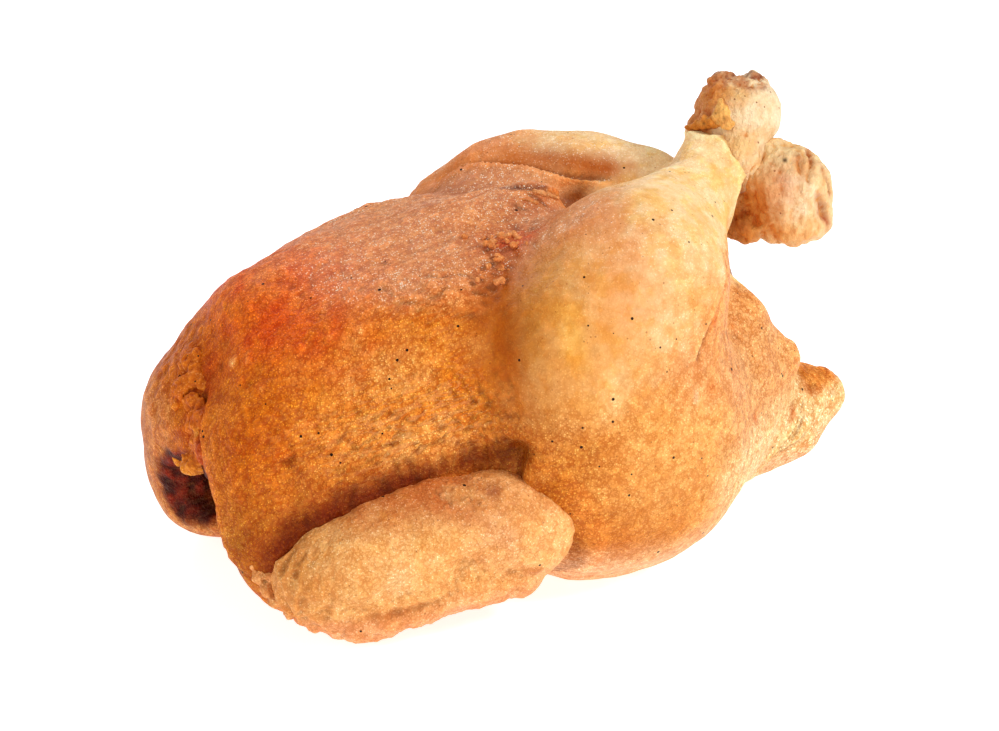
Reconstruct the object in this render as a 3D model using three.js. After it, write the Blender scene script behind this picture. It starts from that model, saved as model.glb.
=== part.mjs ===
// A whole roast chicken, lying on its back with its drumsticks crossed, as a three.js scene graph.
//
// Millimetres, +Z up. The bird's length runs along X: the neck end faces -X and the tail +X. Its own left
// and right are -Y and +Y, called the near and the far side here. The finished bird is moved so that the
// origin is on the ground, under the middle of its bounding box.
//
// The bird is one solid. Every muscle and joint is a rounded volume with a signed distance, the volumes
// melt into each other over a stated blend width, and the neck hollow, the vent hollow and what would be
// under the ground are cut from the result. The skin is the surface where that distance is zero, found on
// a grid.
import * as THREE from "three";

// ---- Driving dimensions -------------------------------------------------------------------------

const SKIN_CELL = 5.2; // grid step of the skin, so an edge of the solid is about this long
const SKIN_PASSES = 3; // rounds in which the skin's faces are evened out
const REACH = { low: [-118, -100, -10], high: [146, 96, 150] }; // the space that holds the bird
const BLEND = { body: 16, leg: 20, limb: 12, joint: 8, hollow: 6, ground: 4 }; // widths of the melted seams
const SKIN_COLOUR = 0xd08a3c;

// ---- Volumes ------------------------------------------------------------------------------------

// A ball-ended stretch from a to b that tapers from radius ra to radius rb.
function taper(a, b, ra, rb) {
  const start = new THREE.Vector3(...a);
  const along = new THREE.Vector3(...b).sub(start);
  const l2 = along.lengthSq();
  const rr = ra - rb;
  const a2 = l2 - rr * rr;
  const il2 = 1 / l2;
  const pa = new THREE.Vector3();
  return (p) => {
    pa.subVectors(p, start);
    const y = pa.dot(along);
    const z = y - l2;
    const x2 = pa.multiplyScalar(l2).addScaledVector(along, -y).lengthSq();
    const y2 = y * y * l2;
    const z2 = z * z * l2;
    const k = Math.sign(rr) * rr * rr * x2;
    if (Math.sign(z) * a2 * z2 > k) return Math.sqrt(x2 + z2) * il2 - rb;
    if (Math.sign(y) * a2 * y2 < k) return Math.sqrt(x2 + y2) * il2 - ra;
    return (Math.sqrt(x2 * a2 * il2) + y * rr) * il2 - ra;
  };
}

// An ellipsoid with the given radii, turned by Euler angles in degrees about its centre.
function ellipsoid(centre, radii, turn = [0, 0, 0]) {
  const middle = new THREE.Vector3(...centre);
  const [rx, ry, rz] = radii;
  const back = new THREE.Quaternion()
    .setFromEuler(new THREE.Euler(...turn.map(THREE.MathUtils.degToRad)))
    .invert();
  const q = new THREE.Vector3();
  return (p) => {
    q.subVectors(p, middle).applyQuaternion(back);
    const k0 = Math.hypot(q.x / rx, q.y / ry, q.z / rz);
    const k1 = Math.hypot(q.x / (rx * rx), q.y / (ry * ry), q.z / (rz * rz));
    return k1 < 1e-9 ? -Math.min(rx, ry, rz) : (k0 * (k0 - 1)) / k1;
  };
}

function smoothMin(a, b, width) {
  const h = Math.max(width - Math.abs(a - b), 0) / width;
  return Math.min(a, b) - h * h * width * 0.25;
}

function melt(volumes, width) {
  return (p) => volumes.reduce((d, volume) => smoothMin(d, volume(p), width), 1e3);
}

function cut(body, hollow, width) {
  return (p) => -smoothMin(-body(p), hollow(p), width);
}

// The same volume on both sides of the bird.
function bothSides(make) {
  return [make(-1), make(1)];
}

// ---- The bird's parts ---------------------------------------------------------------------------

const torso = melt(
  [
    ellipsoid([-10, 0, 42], [73, 50, 44]), // ribs and back
    ...bothSides((side) => ellipsoid([-12, side * 20, 68], [71, 33, 34], [0, -15, side * 5])), // breast
    taper([-52, 0, 79], [26, 0, 105], 12, 8), // keel
    ellipsoid([58, 0, 42], [51, 48, 43]), // rump
    ellipsoid([72, 0, 56], [30, 32, 28]), // belly
    taper([66, 4, 80], [80, 0, 86], 10, 9), // skin under the crossed legs
  ],
  BLEND.body,
);

const neck = melt(
  [
    ellipsoid([-73, 10, 49], [20, 27, 25], [0, 8, 0]), // bunched skin above the hollow
    ellipsoid([-71, 14, 26], [20, 26, 20]), // skin below it
  ],
  BLEND.limb,
);

const tail = melt(
  [
    taper([98, 0, 27], [128, 0, 29], 19, 9),
    ...bothSides((side) => taper([98, side * 11, 18], [116, side * 9, 20], 11, 9)),
  ],
  BLEND.joint,
);

function leg(side, knee, calf, shank) {
  return melt(
    [
      ellipsoid([35, side * 42, 45], [45, 33, 47], [0, 0, side * -6]), // thigh
      taper(knee, calf, 23, 22),
      taper(calf, shank, 22, 10),
    ],
    BLEND.leg,
  );
}

// The bare end of a leg: a shank that flares into a pair of rounded heads.
function knuckle(shank, ankle, across, radius) {
  const heads = [-1, 1].map((end) => ankle.map((v, i) => v + end * across[i]));
  return melt([taper(shank, ankle, 9, 11), taper(...heads, radius, radius)], BLEND.limb);
}

const nearLeg = leg(-1, [17, -49, 80], [43, -38, 93], [83, -5, 108]);
const farLeg = leg(1, [24, 46, 83], [56, 34, 89], [90, 6, 94]);
const legs = melt([nearLeg, farLeg], BLEND.limb);
const nearKnuckle = knuckle([83, -5, 108], [97, 6, 124], [3, 2, -1], 12);
const farKnuckle = knuckle([90, 6, 94], [107, -9, 102], [0, 0, 3], 13.5);

function shoulder(side) {
  return melt(
    [
      taper([-50, side * 40, 38], [-6, side * 48, 30], 16, 14), // upper arm
      ellipsoid([-60, side * 38, 34], [22, 18, 32], [side * 22, 0, 0]), // web of skin to the wrist
    ],
    BLEND.limb,
  );
}

function forearm(side) {
  return melt(
    [
      taper([-54, side * 54, 14.5], [-32, side * 58, 20.5], 14.5, 17),
      taper([-32, side * 58, 20.5], [0, side * 58, 27.5], 17, 18),
    ],
    BLEND.limb,
  );
}

const trunk = melt([melt([torso, ...bothSides(shoulder)], BLEND.body), neck], BLEND.joint);
const bird = melt(
  [trunk, legs, tail, nearKnuckle, farKnuckle, ...bothSides(forearm)],
  BLEND.joint,
);

const neckHollow = taper([-96, -14, 26], [-64, -8, 32], 13, 10);
const ventHollow = taper([118, 0, 64], [88, 0, 57], 16, 13);

const ground = (p) => p.z;

const hollowed = [neckHollow, ventHollow].reduce((body, hollow) => cut(body, hollow, BLEND.hollow), bird);
const resting = cut(hollowed, ground, BLEND.ground);

// ---- The skin -----------------------------------------------------------------------------------

// Surface nets: one vertex in each grid cell that the surface crosses, and one quad round each grid
// edge that it crosses.
function skinOf(field, low, high, cell) {
  const size = high.map((v, i) => Math.ceil((v - low[i]) / cell) + 1);
  const [nx, ny, nz] = size;
  const at = (i, j, k) => i + nx * (j + ny * k);
  const p = new THREE.Vector3();
  const values = new Float64Array(nx * ny * nz);
  for (let k = 0; k < nz; k++)
    for (let j = 0; j < ny; j++)
      for (let i = 0; i < nx; i++)
        values[at(i, j, k)] = field(p.set(low[0] + i * cell, low[1] + j * cell, low[2] + k * cell));

  const corners = [0, 1, 2, 3, 4, 5, 6, 7].map((c) => [c & 1, (c >> 1) & 1, (c >> 2) & 1]);
  const edges = [];
  corners.forEach((a, i) =>
    corners.forEach((b, j) => {
      if (i < j && a.reduce((n, v, axis) => n + Math.abs(v - b[axis]), 0) === 1) edges.push([i, j]);
    }),
  );
  const vertexOf = new Map();
  const vertices = [];
  for (let k = 0; k < nz - 1; k++)
    for (let j = 0; j < ny - 1; j++)
      for (let i = 0; i < nx - 1; i++) {
        const v = corners.map(([a, b, c]) => values[at(i + a, j + b, k + c)]);
        const crossed = edges.filter(([a, b]) => v[a] < 0 !== v[b] < 0);
        if (!crossed.length) continue;
        const sum = [0, 0, 0];
        for (const [a, b] of crossed) {
          const t = v[a] / (v[a] - v[b]);
          for (let axis = 0; axis < 3; axis++)
            sum[axis] += corners[a][axis] + t * (corners[b][axis] - corners[a][axis]);
        }
        vertexOf.set(at(i, j, k), vertices.length);
        vertices.push(
          new THREE.Vector3(i, j, k)
            .addScaledVector(new THREE.Vector3(...sum), 1 / crossed.length)
            .multiplyScalar(cell)
            .add(new THREE.Vector3(...low)),
        );
      }
  vertices.forEach((vertex) => settle(vertex, field, cell));

  const faces = [];
  const steps = [1, nx, nx * ny];
  for (let k = 1; k < nz - 1; k++)
    for (let j = 1; j < ny - 1; j++)
      for (let i = 1; i < nx - 1; i++)
        for (let axis = 0; axis < 3; axis++) {
          const here = at(i, j, k);
          const inside = values[here] < 0;
          if (inside === values[here + steps[axis]] < 0) continue;
          const u = steps[(axis + 1) % 3];
          const w = steps[(axis + 2) % 3];
          const quad = [here - u - w, here - w, here, here - u].map((c) => vertexOf.get(c));
          addQuad(faces, vertices, inside ? quad : quad.reverse());
        }
  for (let pass = 0; pass < SKIN_PASSES; pass++) {
    relax(vertices, faces);
    vertices.forEach((vertex) => settle(vertex, field, cell));
  }
  relax(vertices, faces);
  return { vertices, faces };
}

// Moves each vertex halfway to the mean of its neighbours, which evens out the faces.
function relax(vertices, faces) {
  const sums = vertices.map(() => new THREE.Vector3());
  const counts = new Array(vertices.length).fill(0);
  for (const face of faces)
    face.forEach((v, i) => {
      sums[v].add(vertices[face[(i + 1) % 3]]);
      counts[v]++;
    });
  vertices.forEach((vertex, i) => vertex.lerp(sums[i].divideScalar(counts[i]), 0.5));
}

// Moves a vertex onto the surface along the field's slope.
function settle(vertex, field, cell) {
  const h = cell * 0.05;
  const slope = new THREE.Vector3();
  const probe = new THREE.Vector3();
  for (let pass = 0; pass < 3; pass++) {
    const d = field(vertex);
    for (let axis = 0; axis < 3; axis++) {
      probe.copy(vertex).setComponent(axis, vertex.getComponent(axis) + h);
      slope.setComponent(axis, (field(probe) - d) / h);
    }
    const step = THREE.MathUtils.clamp(d / Math.max(slope.lengthSq(), 0.2), -cell / 3, cell / 3);
    vertex.addScaledVector(slope, -step);
  }
}

// Splits a quad along its shorter diagonal.
function addQuad(faces, vertices, [a, b, c, d]) {
  const short = vertices[a].distanceTo(vertices[c]) < vertices[b].distanceTo(vertices[d]);
  if (short) faces.push([a, b, c], [a, c, d]);
  else faces.push([a, b, d], [b, c, d]);
}

// ---- The model ----------------------------------------------------------------------------------

const skin = skinOf(resting, REACH.low, REACH.high, SKIN_CELL);
const geometry = new THREE.BufferGeometry().setFromPoints(skin.vertices).setIndex(skin.faces.flat());
geometry.computeVertexNormals();
geometry.computeBoundingBox();
const middle = geometry.boundingBox.getCenter(new THREE.Vector3());
geometry.translate(-middle.x, -middle.y, -geometry.boundingBox.min.z);

const chicken = new THREE.Mesh(
  geometry,
  new THREE.MeshStandardMaterial({ color: SKIN_COLOUR, roughness: 0.45, metalness: 0 }),
);
chicken.name = "roast_chicken";

const model = new THREE.Group();
model.add(chicken);

export default model;
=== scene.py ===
"""A whole roast chicken on its back: blistered skin, folded wings, crossed legs with bare leg ends.

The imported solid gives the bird's form. The skin is a finer copy of that form, shaped and painted in
code in millimetres. Wings, leg ends, the bunched neck skin and torn scraps of skin are pieces of their
own, each grown from rounded lumps that are melted together.
"""

import math

import bpy
import numpy as np
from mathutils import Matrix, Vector


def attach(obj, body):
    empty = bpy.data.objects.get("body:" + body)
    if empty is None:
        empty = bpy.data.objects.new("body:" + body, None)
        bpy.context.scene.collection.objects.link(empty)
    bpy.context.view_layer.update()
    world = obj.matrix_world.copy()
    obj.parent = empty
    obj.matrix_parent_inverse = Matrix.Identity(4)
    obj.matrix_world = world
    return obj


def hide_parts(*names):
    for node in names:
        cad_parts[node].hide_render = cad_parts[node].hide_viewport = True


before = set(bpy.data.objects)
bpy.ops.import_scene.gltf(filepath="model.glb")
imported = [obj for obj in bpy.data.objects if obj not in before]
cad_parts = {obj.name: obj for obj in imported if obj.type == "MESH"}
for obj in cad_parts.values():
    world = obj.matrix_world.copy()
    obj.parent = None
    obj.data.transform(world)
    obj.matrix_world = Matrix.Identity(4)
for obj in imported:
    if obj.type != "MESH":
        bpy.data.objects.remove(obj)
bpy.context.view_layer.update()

MM = 0.001
NEAR, FAR = -1, 1  # the bird's two sides, as the sign of Y

# ---- Sizes in millimetres -----------------------------------------------------------------------

SKIN_CELL = 1.2
WING_CELL = 0.62
LEG_END_CELL = 0.5
SCRAP_CELL = 0.45

# Lines on the skin, listed on the near side. The far side has the same ones at +Y.
WING_CREASE = [
    (-92, -56, 27), (-85, -57, 35), (-75, -58, 40), (-66, -58, 43), (-54, -57, 46),
    (-44, -57, 48), (-33, -58, 50), (-23, -62, 53),
]  # fmt: skip
WING_PIT = (-23, -63, 53)
SHOULDER_VALLEY = [(-87, -47, 57), (-86, -51, 51), (-85, -54, 44), (-84, -57, 36)]
SHOULDER_EDGE = [
    (-101, -12, 68), (-103, -19, 60), (-104, -22, 54), (-104, -28, 47), (-104, -35, 41),
    (-103, -39, 33), (-101, -43, 26), (-98, -49, 20),
]  # fmt: skip
NECK_LINE = [(-102, -11, 66), (-104, -15, 60), (-106, -17, 53), (-105, -22, 49), (-104, -27, 45)]
THIGH_VALLEY = [
    (-1, -14, 107), (-14, -33, 104), (-22, -46, 97), (-25, -55, 89), (-26, -60, 78),
    (-25, -62, 67), (-24, -63, 56),
]  # fmt: skip
BREAST_CREST = [  # the breast's edge over the valley beside the far drumstick
    (38, 11, 105.5), (30.4, 13.8, 106), (24.9, 16.1, 106.4), (19.9, 19.5, 107), (13.6, 26.4, 108),
    (6.9, 32.6, 107.3), (1.1, 37.6, 106), (-4, 40.2, 105), (-9, 44, 103), (-15, 47, 100),
]  # fmt: skip
BREAST_TIP_FOLD = [
    (-4, 0.4, 111), (0.5, -2.2, 111.5), (5, -4.4, 111.9), (11.5, -5, 111.7), (18, -1, 109), (23, 6, 104),
]  # fmt: skip
BREAST_TIP_PIT = (24, 11, 101.5)

# The folded wing: points from wrist to elbow with a radius at each, then the skin under them.
WING_BONE = [
    (-84, -57, 20.5), (-71.5, -58, 24.5), (-56.5, -58, 27),
    (-41, -58, 29), (-29, -58, 29), (-19.5, -59, 28.5),
]  # fmt: skip
WING_GIRTH = (10, 14.8, 16.6, 17.4, 17.6, 15.6)
WING_SKIN = [(-80, -57, 14.6), (-68, -61, 11.6), (-54, -64, 16), (-39, -64, 18.6), (-24, -61, 18.6)]
WING_SKIN_GIRTH = (9.6, 10.4, 10.2, 10.4, 10.8)
LEG_LINE = {
    NEAR: [(-4, -49, 80), (22, -38, 93), (62, -5, 108)],
    FAR: [(3, 46, 83), (35, 34, 89), (69, 6, 94)],
}
NEAR_ANKLE = [(65, -2, 106), (72.5, -1, 114), (74.5, 3.5, 126)]  # the bare end of the upper leg
FAR_ANKLE = [(69, 5, 95), (86, -9, 102)]  # the bare end of the lower leg
DRAWN_IN = {NEAR: 0.72, FAR: 0.62}  # how much of the way to those lines the skin inside is drawn
TURNED = (0, 0, -20)  # degrees, for the lumps of the leg ends and the torn skin on them
SKIN_EDGES = (  # planes past which the upper leg's skin has ended: a point on each and its direction
    ((65.5, -4, 112), (0.90, 0.22, 0.37)),
    ((58, -4, 122.8), (0.10, 0.15, 0.98)),
)
BACKWARDS = np.array((0.94, -0.342, 0.0))  # the two directions in which the gap is listed
UPWARDS = np.array((0.128, 0.352, 0.927))
LEG_GAP = (  # how far back the skin reaches between the legs: height on the slant, reach
    (63, 80.6), (69.2, 75.6), (75.5, 69.0), (80.8, 62.6),
    (92.3, 65.7), (100.1, 67.3), (105.5, 69.6), (110, 71),
)  # fmt: skip
LEG_SHADE = [
    (4, -28, 110), (-6, -42, 106.5), (-13, -54, 99), (-18, -62, 90), (-18, -67, 80), (-18, -69, 68),
]  # fmt: skip
LEG_SEAM = [(45, -48, 98), (40, -59, 90), (34, -65, 82), (30, -67, 74)]  # drumstick over belly
LEG_RIDGE = [
    (-6, -36, 110), (3, -38, 114.6), (12, -36, 118), (24, -28, 119.6), (37, -18, 119), (50, -8, 118),
]  # fmt: skip
# a line on the far drumstick's side above that valley, where browning and painted shade are laid
FAR_LEG_FACE = [  # the brown side of the far drumstick above that valley
    (-10, 49, 102), (-4.7, 46.8, 104.7), (4.5, 44.3, 107), (13.4, 32.2, 109.6), (23, 22.6, 110.4),
    (34, 16.2, 109.2), (45.4, 14.6, 108.8), (52, 13, 107),
]  # fmt: skip
NECK_HOLLOW = ((-117, -14, 26), (-85, -8, 32))
VENT = ((97, 0, 64), (67, 0, 57))
NECK_SHEET = (  # rows of the neck's pebbled skin, downwards: first place, last place, lumps in the row
    ((-104, 1, 69), (-102.5, -2, 70), 2), ((-105.6, -1.5, 66), (-103, -6, 67), 3),
    ((-107.2, -3.7, 63), (-103.7, -9.5, 64), 3), ((-108.6, -5, 59.5), (-104.5, -13, 61), 3),
    ((-109.6, -6, 55.5), (-105, -15.6, 57.5), 4), ((-110.3, -5.7, 51), (-105, -18.8, 54), 5),
    ((-110.6, -4.6, 46.5), (-105, -21.5, 51), 6), ((-110.4, -3, 43), (-105, -23.5, 48), 7),
    ((-109.8, -2, 40.8), (-105.2, -22.5, 45), 7),
)  # fmt: skip
PAIRED_PULLS = (  # where the form swells or sinks on both sides: centre, radii, millimetres outwards
    ((-107, -18, 66), (11, 16, 10), -2.6), ((86, -17, 53), (8, 11, 9), 6.0),
    ((69, -22, 73), (8, 10, 8), 1.8), ((58, -44, 27), (13, 15, 15), 3.2), ((84, -19, 12), (14, 9, 9), -3.6),
    ((102, -14, 20), (10, 9, 8), -2.0), ((4, -58, 5), (34, 11, 9), -3.0),
)  # fmt: skip
SINGLE_PULLS = (
    ((7, 49, 107), (9, 10, 8), 3.4), ((18, 45, 111), (11, 10, 8), 3.4), ((-12, 46, 102), (9, 12, 8), -3.4),
    ((34, 37, 115), (10, 10, 7), -1.6), ((55, 20, 108), (8, 9, 7), 2.4), ((44, -14, 116), (12, 8, 6), 1.2),
    ((-88, 8, 84), (14, 26, 14), 3.6), ((-66, 14, 97), (14, 20, 10), 1.3), ((68, -18, 80), (6, 8, 6), -2.5),
    ((57, -5, 117), (5, 7, 5), 1.8),
)  # fmt: skip
BREAST_WRINKLES = (  # centre, radii, then the wrinkles there: run, length, width, height, seed
    ((-52, -54, 58), (36, 16, 16),
     (((1, 0.1, 0.30), 10, 3.0, 0.5, 3), ((0.8, 0.1, -0.6), 8, 2.2, 0.35, 33))),
    ((-38, -36, 96), (22, 14, 9), (((1, -0.55, -0.12), 18, 3.2, 0.6, 6),)),
    ((-34, -56, 66), (18, 12, 16), (((0.45, -0.1, -1), 13, 3.6, 0.5, 9),)),
    ((-94, -40, 52), (14, 16, 24), (((0.1, -0.35, -1), 20, 4.4, 0.35, 12),)),
)  # fmt: skip
RUMP_WRINKLES = (
    ((46, -48, 72), (20, 20, 18), (((0.62, 0.42, -0.75), 16, 3.6, 0.45, 20),)),
    ((52, -46, 38), (26, 22, 24), (((0.75, 0.3, -0.5), 14, 4.2, 0.3, 24),)),
)

# ---- Colours ------------------------------------------------------------------------------------


def tone(code):
    """A colour such as "e8a050" in the linear values that shaders take, or a colour as it is."""
    if not isinstance(code, str):
        return code
    shares = [int(code[i : i + 2], 16) / 255 for i in (0, 2, 4)]
    return np.array([c / 12.92 if c < 0.04045 else ((c + 0.055) / 1.055) ** 2.4 for c in shares])


SIDE_GOLD = tone("e07c18")
FLANK = tone("e8903c")
DRAPE = tone("ce6202")
DRAPE_LOW = tone("a65c0c")
RUST = tone("e04c00")
RUST_DEEP = tone("c43800")
FRONT_TOP = tone("ee7a22")
FROSTED = tone("e08c50")
# painted sheen: whitish glints on the breast's upturned top
SHEEN_PAINT = tone("fbe2c8")
# browning deepened by painted shade, laid in valleys, creases and broad hollows
HOLLOW_BROWN_AND_SHADE = tone("b0560a")
# dark red-brown deepened by painted shade, in the creases
CREASE_BROWN_AND_SHADE = tone("6a1a02")
# painted shade for the deep pit above each wing
PIT_SHADE = tone("380a02")
THIGH_GOLD = tone("d6822e")
THIGH_TAN = tone("f0aa5c")
THIGH_LOW = tone("ca6e1a")
LEG_TAN = tone("f4be7a")
LEG_PALE = tone("fbd8a4")
# browning deepened by painted shade, on the far drumstick's side over the valley
LEG_BROWN_AND_SHADE = tone("b05812")
RUMP = tone("eea964")
RUMP_PALE = tone("fad094")
BLUSH = tone("e69a68")
WING_TAN = tone("f6b46c")
WING_EDGE = tone("c66220")
FLAKE = tone("f0ac5c")
RIDGE_HIGHLIGHT = tone("eaa668")
# painted highlight along the ridges of the fine wrinkles
SEARED = tone("8a3a0e")
BONE_PALE = tone("f9e7c0")
PEPPER = tone("2c1408")

# What the paint is multiplied by, channel by channel.
WARM_SHADE = (0.86, 0.58, 0.36)  # in the hollows of pale skin
SPECKLE_DARK = (0.94, 0.86, 0.72)
SPECKLE_LIGHT = (1.05, 1.12, 1.2)
# painted highlight on the neck skin's crests
NECK_CREST_HIGHLIGHT = (1.25, 1.45, 1.7)  # on the neck skin's crests

# Tints that the materials multiply the paint by.
TOASTED = (0.84, 0.70, 0.46, 1)
GLOSSY_GOLD = (0.98, 0.84, 0.46, 1)
FLAKY_LIGHT = (1.10, 1.32, 1.8, 1)
TANNED = (0.93, 0.78, 0.56, 1)
BLUSHED = (0.90, 0.66, 0.56, 1)
# painted shade between the grains, painted highlight on their tops, painted glints on the few that shine
GRAIN_SHADE = (0.70, 0.48, 0.28, 1)  # between the skin's grains
GRAIN_HIGHLIGHT = (1.22, 1.40, 1.5, 1)  # on the grains
FAT_GLINT = (1.55, 2.2, 3.2, 1)  # on the few grains that shine
# painted shade between the grains of the leg ends
BONE_GRAIN_SHADE = (0.62, 0.34, 0.16, 1)

# Dabs of paint, listed on the near side: strength, colour, centre, radii, raggedness.
THIGH_DABS = (
    (0.8, THIGH_LOW, (6, -62, 26), (26, 22, 17), 0.3),
    (0.8, THIGH_GOLD, (-6, -66, 60), (15, 14, 22), 0.3),
    (0.7, THIGH_GOLD, (14, -68, 76), (20, 14, 9), 0.5),
)
LEG_DABS = (
    (0.6, THIGH_GOLD, (-10, -71, 64), (9, 12, 34), 0.5),
    (0.6, "ca7228", (-31, -51, 86), (6, 9, 14), 0.5),
    # painted highlight on the near drumstick's front
    (0.6, "f4b654", (-8, -69, 89), (3.6, 8, 9), 0.4),
    (0.45, BLUSH, (30, -66, 74), (12, 12, 12), 0.6),
)
SHOULDER_DABS = (
    (0.7, SIDE_GOLD, (-86, -30, 66), (18, 12, 9), 0.8),
    (0.95, DRAPE, (-94, -38, 52), (16, 20, 28), 0.3),
    (0.95, DRAPE_LOW, (-96, -46, 24), (13, 14, 15), 0.3),
    (0.5, FLAKE, (-48, -55, 56), (15, 10, 7), 0.7),
)
FLANK_DABS = (
    # painted shade in the pit above the wing
    (0.95, PIT_SHADE, WING_PIT, 4.6, 0.5),
    (0.8, "c87434", (-8, -68, 17), (8, 8, 6), 0.7),
    (0.8, "cc7018", (-14, -70, 36), (9, 9, 20), 0.6),
    (0.5, FLAKE, (-58, -52, 78), (20, 16, 10), 0.9),
    (0.4, BLUSH, (46, -50, 66), (16, 18, 16), 0.8),
)
# browning and painted shade along the crease where the wing meets the body
WING_CREASE_PAINT = (  # strength, colour, width at the wrist, width at the elbow, how much it wavers
    (0.85, HOLLOW_BROWN_AND_SHADE, 10, 5.0, 2.2),
    (1, CREASE_BROWN_AND_SHADE, 6.6, 3.2, 1.3),
)
TORN_PLACE = ((-11, -27, 105.5), (9, 5, 3.6), 0.8)
BREAST_TOP_DABS = (
    (0.7, "eaa066", (12, 16, 107), (14, 8, 5), 0.4),
    (0.95, "c8480a", *TORN_PLACE),
    (0.8, "d8905c", (8.5, -40, 116), (8, 9, 5), 0.7),
    # painted light where the near drumstick's shadow falls on the breast
    (0.75, "e69a68", (1, -18, 107), (8, 6, 4), 0.7),
)
WING_DABS = (
    (0.6, "e29a68", (-31, -74, 34), (10, 8, 9), 0.7),
    (0.9, "a8642c", (-87, -63, 24), (2.2, 4, 4.5), 0.4),
    (0.85, "a0502c", (-31, -66, 44), 2.4, 0.4),
    (0.7, "cc7824", (-90, -58, 19), (9, 10, 16), 0.5),
    # painted highlight on the bump of the wing
    (0.7, "f8cc90", (-63, -75, 25), (5, 5, 4), 0.4),
    (0.55, "d88c3c", (-82, -70, 22), (9, 9, 11), 0.5),
)
LOWER_LEG_END_DABS = (  # without the raggedness, which is the same for all
    (0.85, "e8a04a", (75, -18, 92), (8, 7, 4)),
    (0.65, "f0ae60", (84, -22, 93), (9, 6, 4)),
    (0.6, "dc9458", (76, -20, 107), (5, 6, 7)),
    (0.6, "d8904c", (74, -16, 111), (5, 5, 5)),
    (0.7, "b86410", (73, -17, 101), (4, 5, 5)),
    (0.7, "fdeccc", (85, -23, 105), (5, 5, 6)),
    (0.6, "de9a54", (87, -19, 114), (4, 4, 3)),
)
TOASTED_SPOTS = ((61, -44, 45), (86, -18, 32), (36, -65, 66), (56, -35, 71), (39, -60, 84))
CREASED_PLACES = (  # where the skin has shrunk into fine lines: strength, centre, radii
    (1, (-48, -54, 62), (30, 16, 17)),
    (0.7, (-30, -36, 92), (22, 12, 12)),
    (0.55, (58, -38, 60), (18, 18, 26)),
)

# ---- Noise and distances over points in millimetres ---------------------------------------------

DRAW = np.random.default_rng(7)
SLOPES = DRAW.normal(size=(256, 3))
SLOPES /= np.linalg.norm(SLOPES, axis=1, keepdims=True)
SHUFFLE = DRAW.permutation(256)


def scramble(cell):
    """A number from 0 to 255 for each whole-numbered cell."""
    first = SHUFFLE[cell[:, 0] & 255]
    second = SHUFFLE[(first + cell[:, 1]) & 255]
    return SHUFFLE[(second + cell[:, 2]) & 255]


def waves(at, size, seed=0):
    """Smooth noise from about -1 to 1, with swells of the given size in millimetres."""
    q = at / size + seed * 13.7
    cell = np.floor(q).astype(int)
    within = q - cell
    fade = within**3 * (within * (within * 6 - 15) + 10)
    total = np.zeros(len(q))
    for corner in np.ndindex(2, 2, 2):
        slope = SLOPES[scramble(cell + corner)]
        weight = np.prod(np.where(corner, fade, 1 - fade), axis=1)
        total += weight * np.einsum("ij,ij->i", slope, within - corner)
    return total * 1.7


def rough(at, size, seed=0, layers=3):
    """Waves with finer waves on them."""
    return sum(waves(at, size / 2**i, seed + i) / 2**i for i in range(layers)) / 1.6


def blisters(at, spacing, seed=0):
    """Round bumps from 0 to 1, one in each cell of the given spacing."""
    q = at / spacing + seed * 9.1
    cell = np.floor(q).astype(int)
    nearest = np.full(len(q), 9.0)
    for corner in np.ndindex(3, 3, 3):
        neighbour = cell + np.array(corner) - 1
        mark = scramble(neighbour)
        centre = neighbour + 0.5 + SLOPES[mark] * 0.38
        nearest = np.minimum(nearest, np.linalg.norm(q - centre, axis=1))
    return np.clip(1 - nearest / 0.75, 0, 1)


def pebbles(at, spacing, seed):
    """Blisters that also sink a little between the bumps."""
    return blisters(at, spacing, seed) - 0.4


def bell(distance, width):
    """1 at no distance, fading to 0 past the width."""
    return np.exp(-((distance / width) ** 2))


def ramp(value, start, end):
    """From 0 at start to 1 at end, eased at both."""
    t = np.clip((value - start) / (end - start), 0, 1)
    return t * t * (3 - 2 * t)


def eased(path, steps=6):
    """A smooth curve through the points of a path."""
    p = np.array(path, float)
    if len(p) < 3:
        return p
    p = np.vstack([2 * p[0] - p[1], p, 2 * p[-1] - p[-2]])
    out = []
    for a, b, c, d in zip(p, p[1:], p[2:], p[3:]):
        for t in np.arange(steps) / steps:
            out.append(
                0.5 * (2 * b + (c - a) * t + (2 * a - 5 * b + 4 * c - d) * t**2
                       + (3 * b - a - 3 * c + d) * t**3)
            )  # fmt: skip
    return np.array([*out, p[-2]])


def along(at, path, reach=32):
    """Distance to a path, share of its length at the nearest point, and the offset and run there.

    Points farther than the reach are left at a great distance.
    """
    path = eased(path)
    runs = np.diff(path, axis=0)
    lengths = np.linalg.norm(runs, axis=1)
    starts = np.concatenate([[0], np.cumsum(lengths)])
    best = np.full(len(at), 1e3)
    share, offset, run = np.zeros(len(at)), np.zeros_like(at), np.zeros_like(at)
    close = np.flatnonzero(np.all((at > path.min(0) - reach) & (at < path.max(0) + reach), axis=1))
    for i, (start, step) in enumerate(zip(path, runs)):
        t = np.clip((at[close] - start) @ step / (step @ step), 0, 1)
        away = at[close] - start - t[:, None] * step
        d = np.linalg.norm(away, axis=1)
        near = d < best[close]
        here = close[near]
        best[here] = d[near]
        share[here] = (starts[i] + t[near] * lengths[i]) / starts[-1]
        offset[here] = away[near]
        run[here] = step / lengths[i]
    return best, share, offset, run


def mirrored(path, side):
    """A path or a point that is listed on the near side, on the side asked for."""
    return np.array(path, float) * (1, -side, 1)


# ---- Modelling ----------------------------------------------------------------------------------


def deselect_all():
    bpy.ops.object.select_all(action="DESELECT")


def pick(obj):
    deselect_all()
    obj.select_set(True)
    bpy.context.view_layer.objects.active = obj


def settle(obj):
    """Puts the object's place into its mesh."""
    pick(obj)
    bpy.ops.object.transform_apply(location=True, rotation=True, scale=True)


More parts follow.
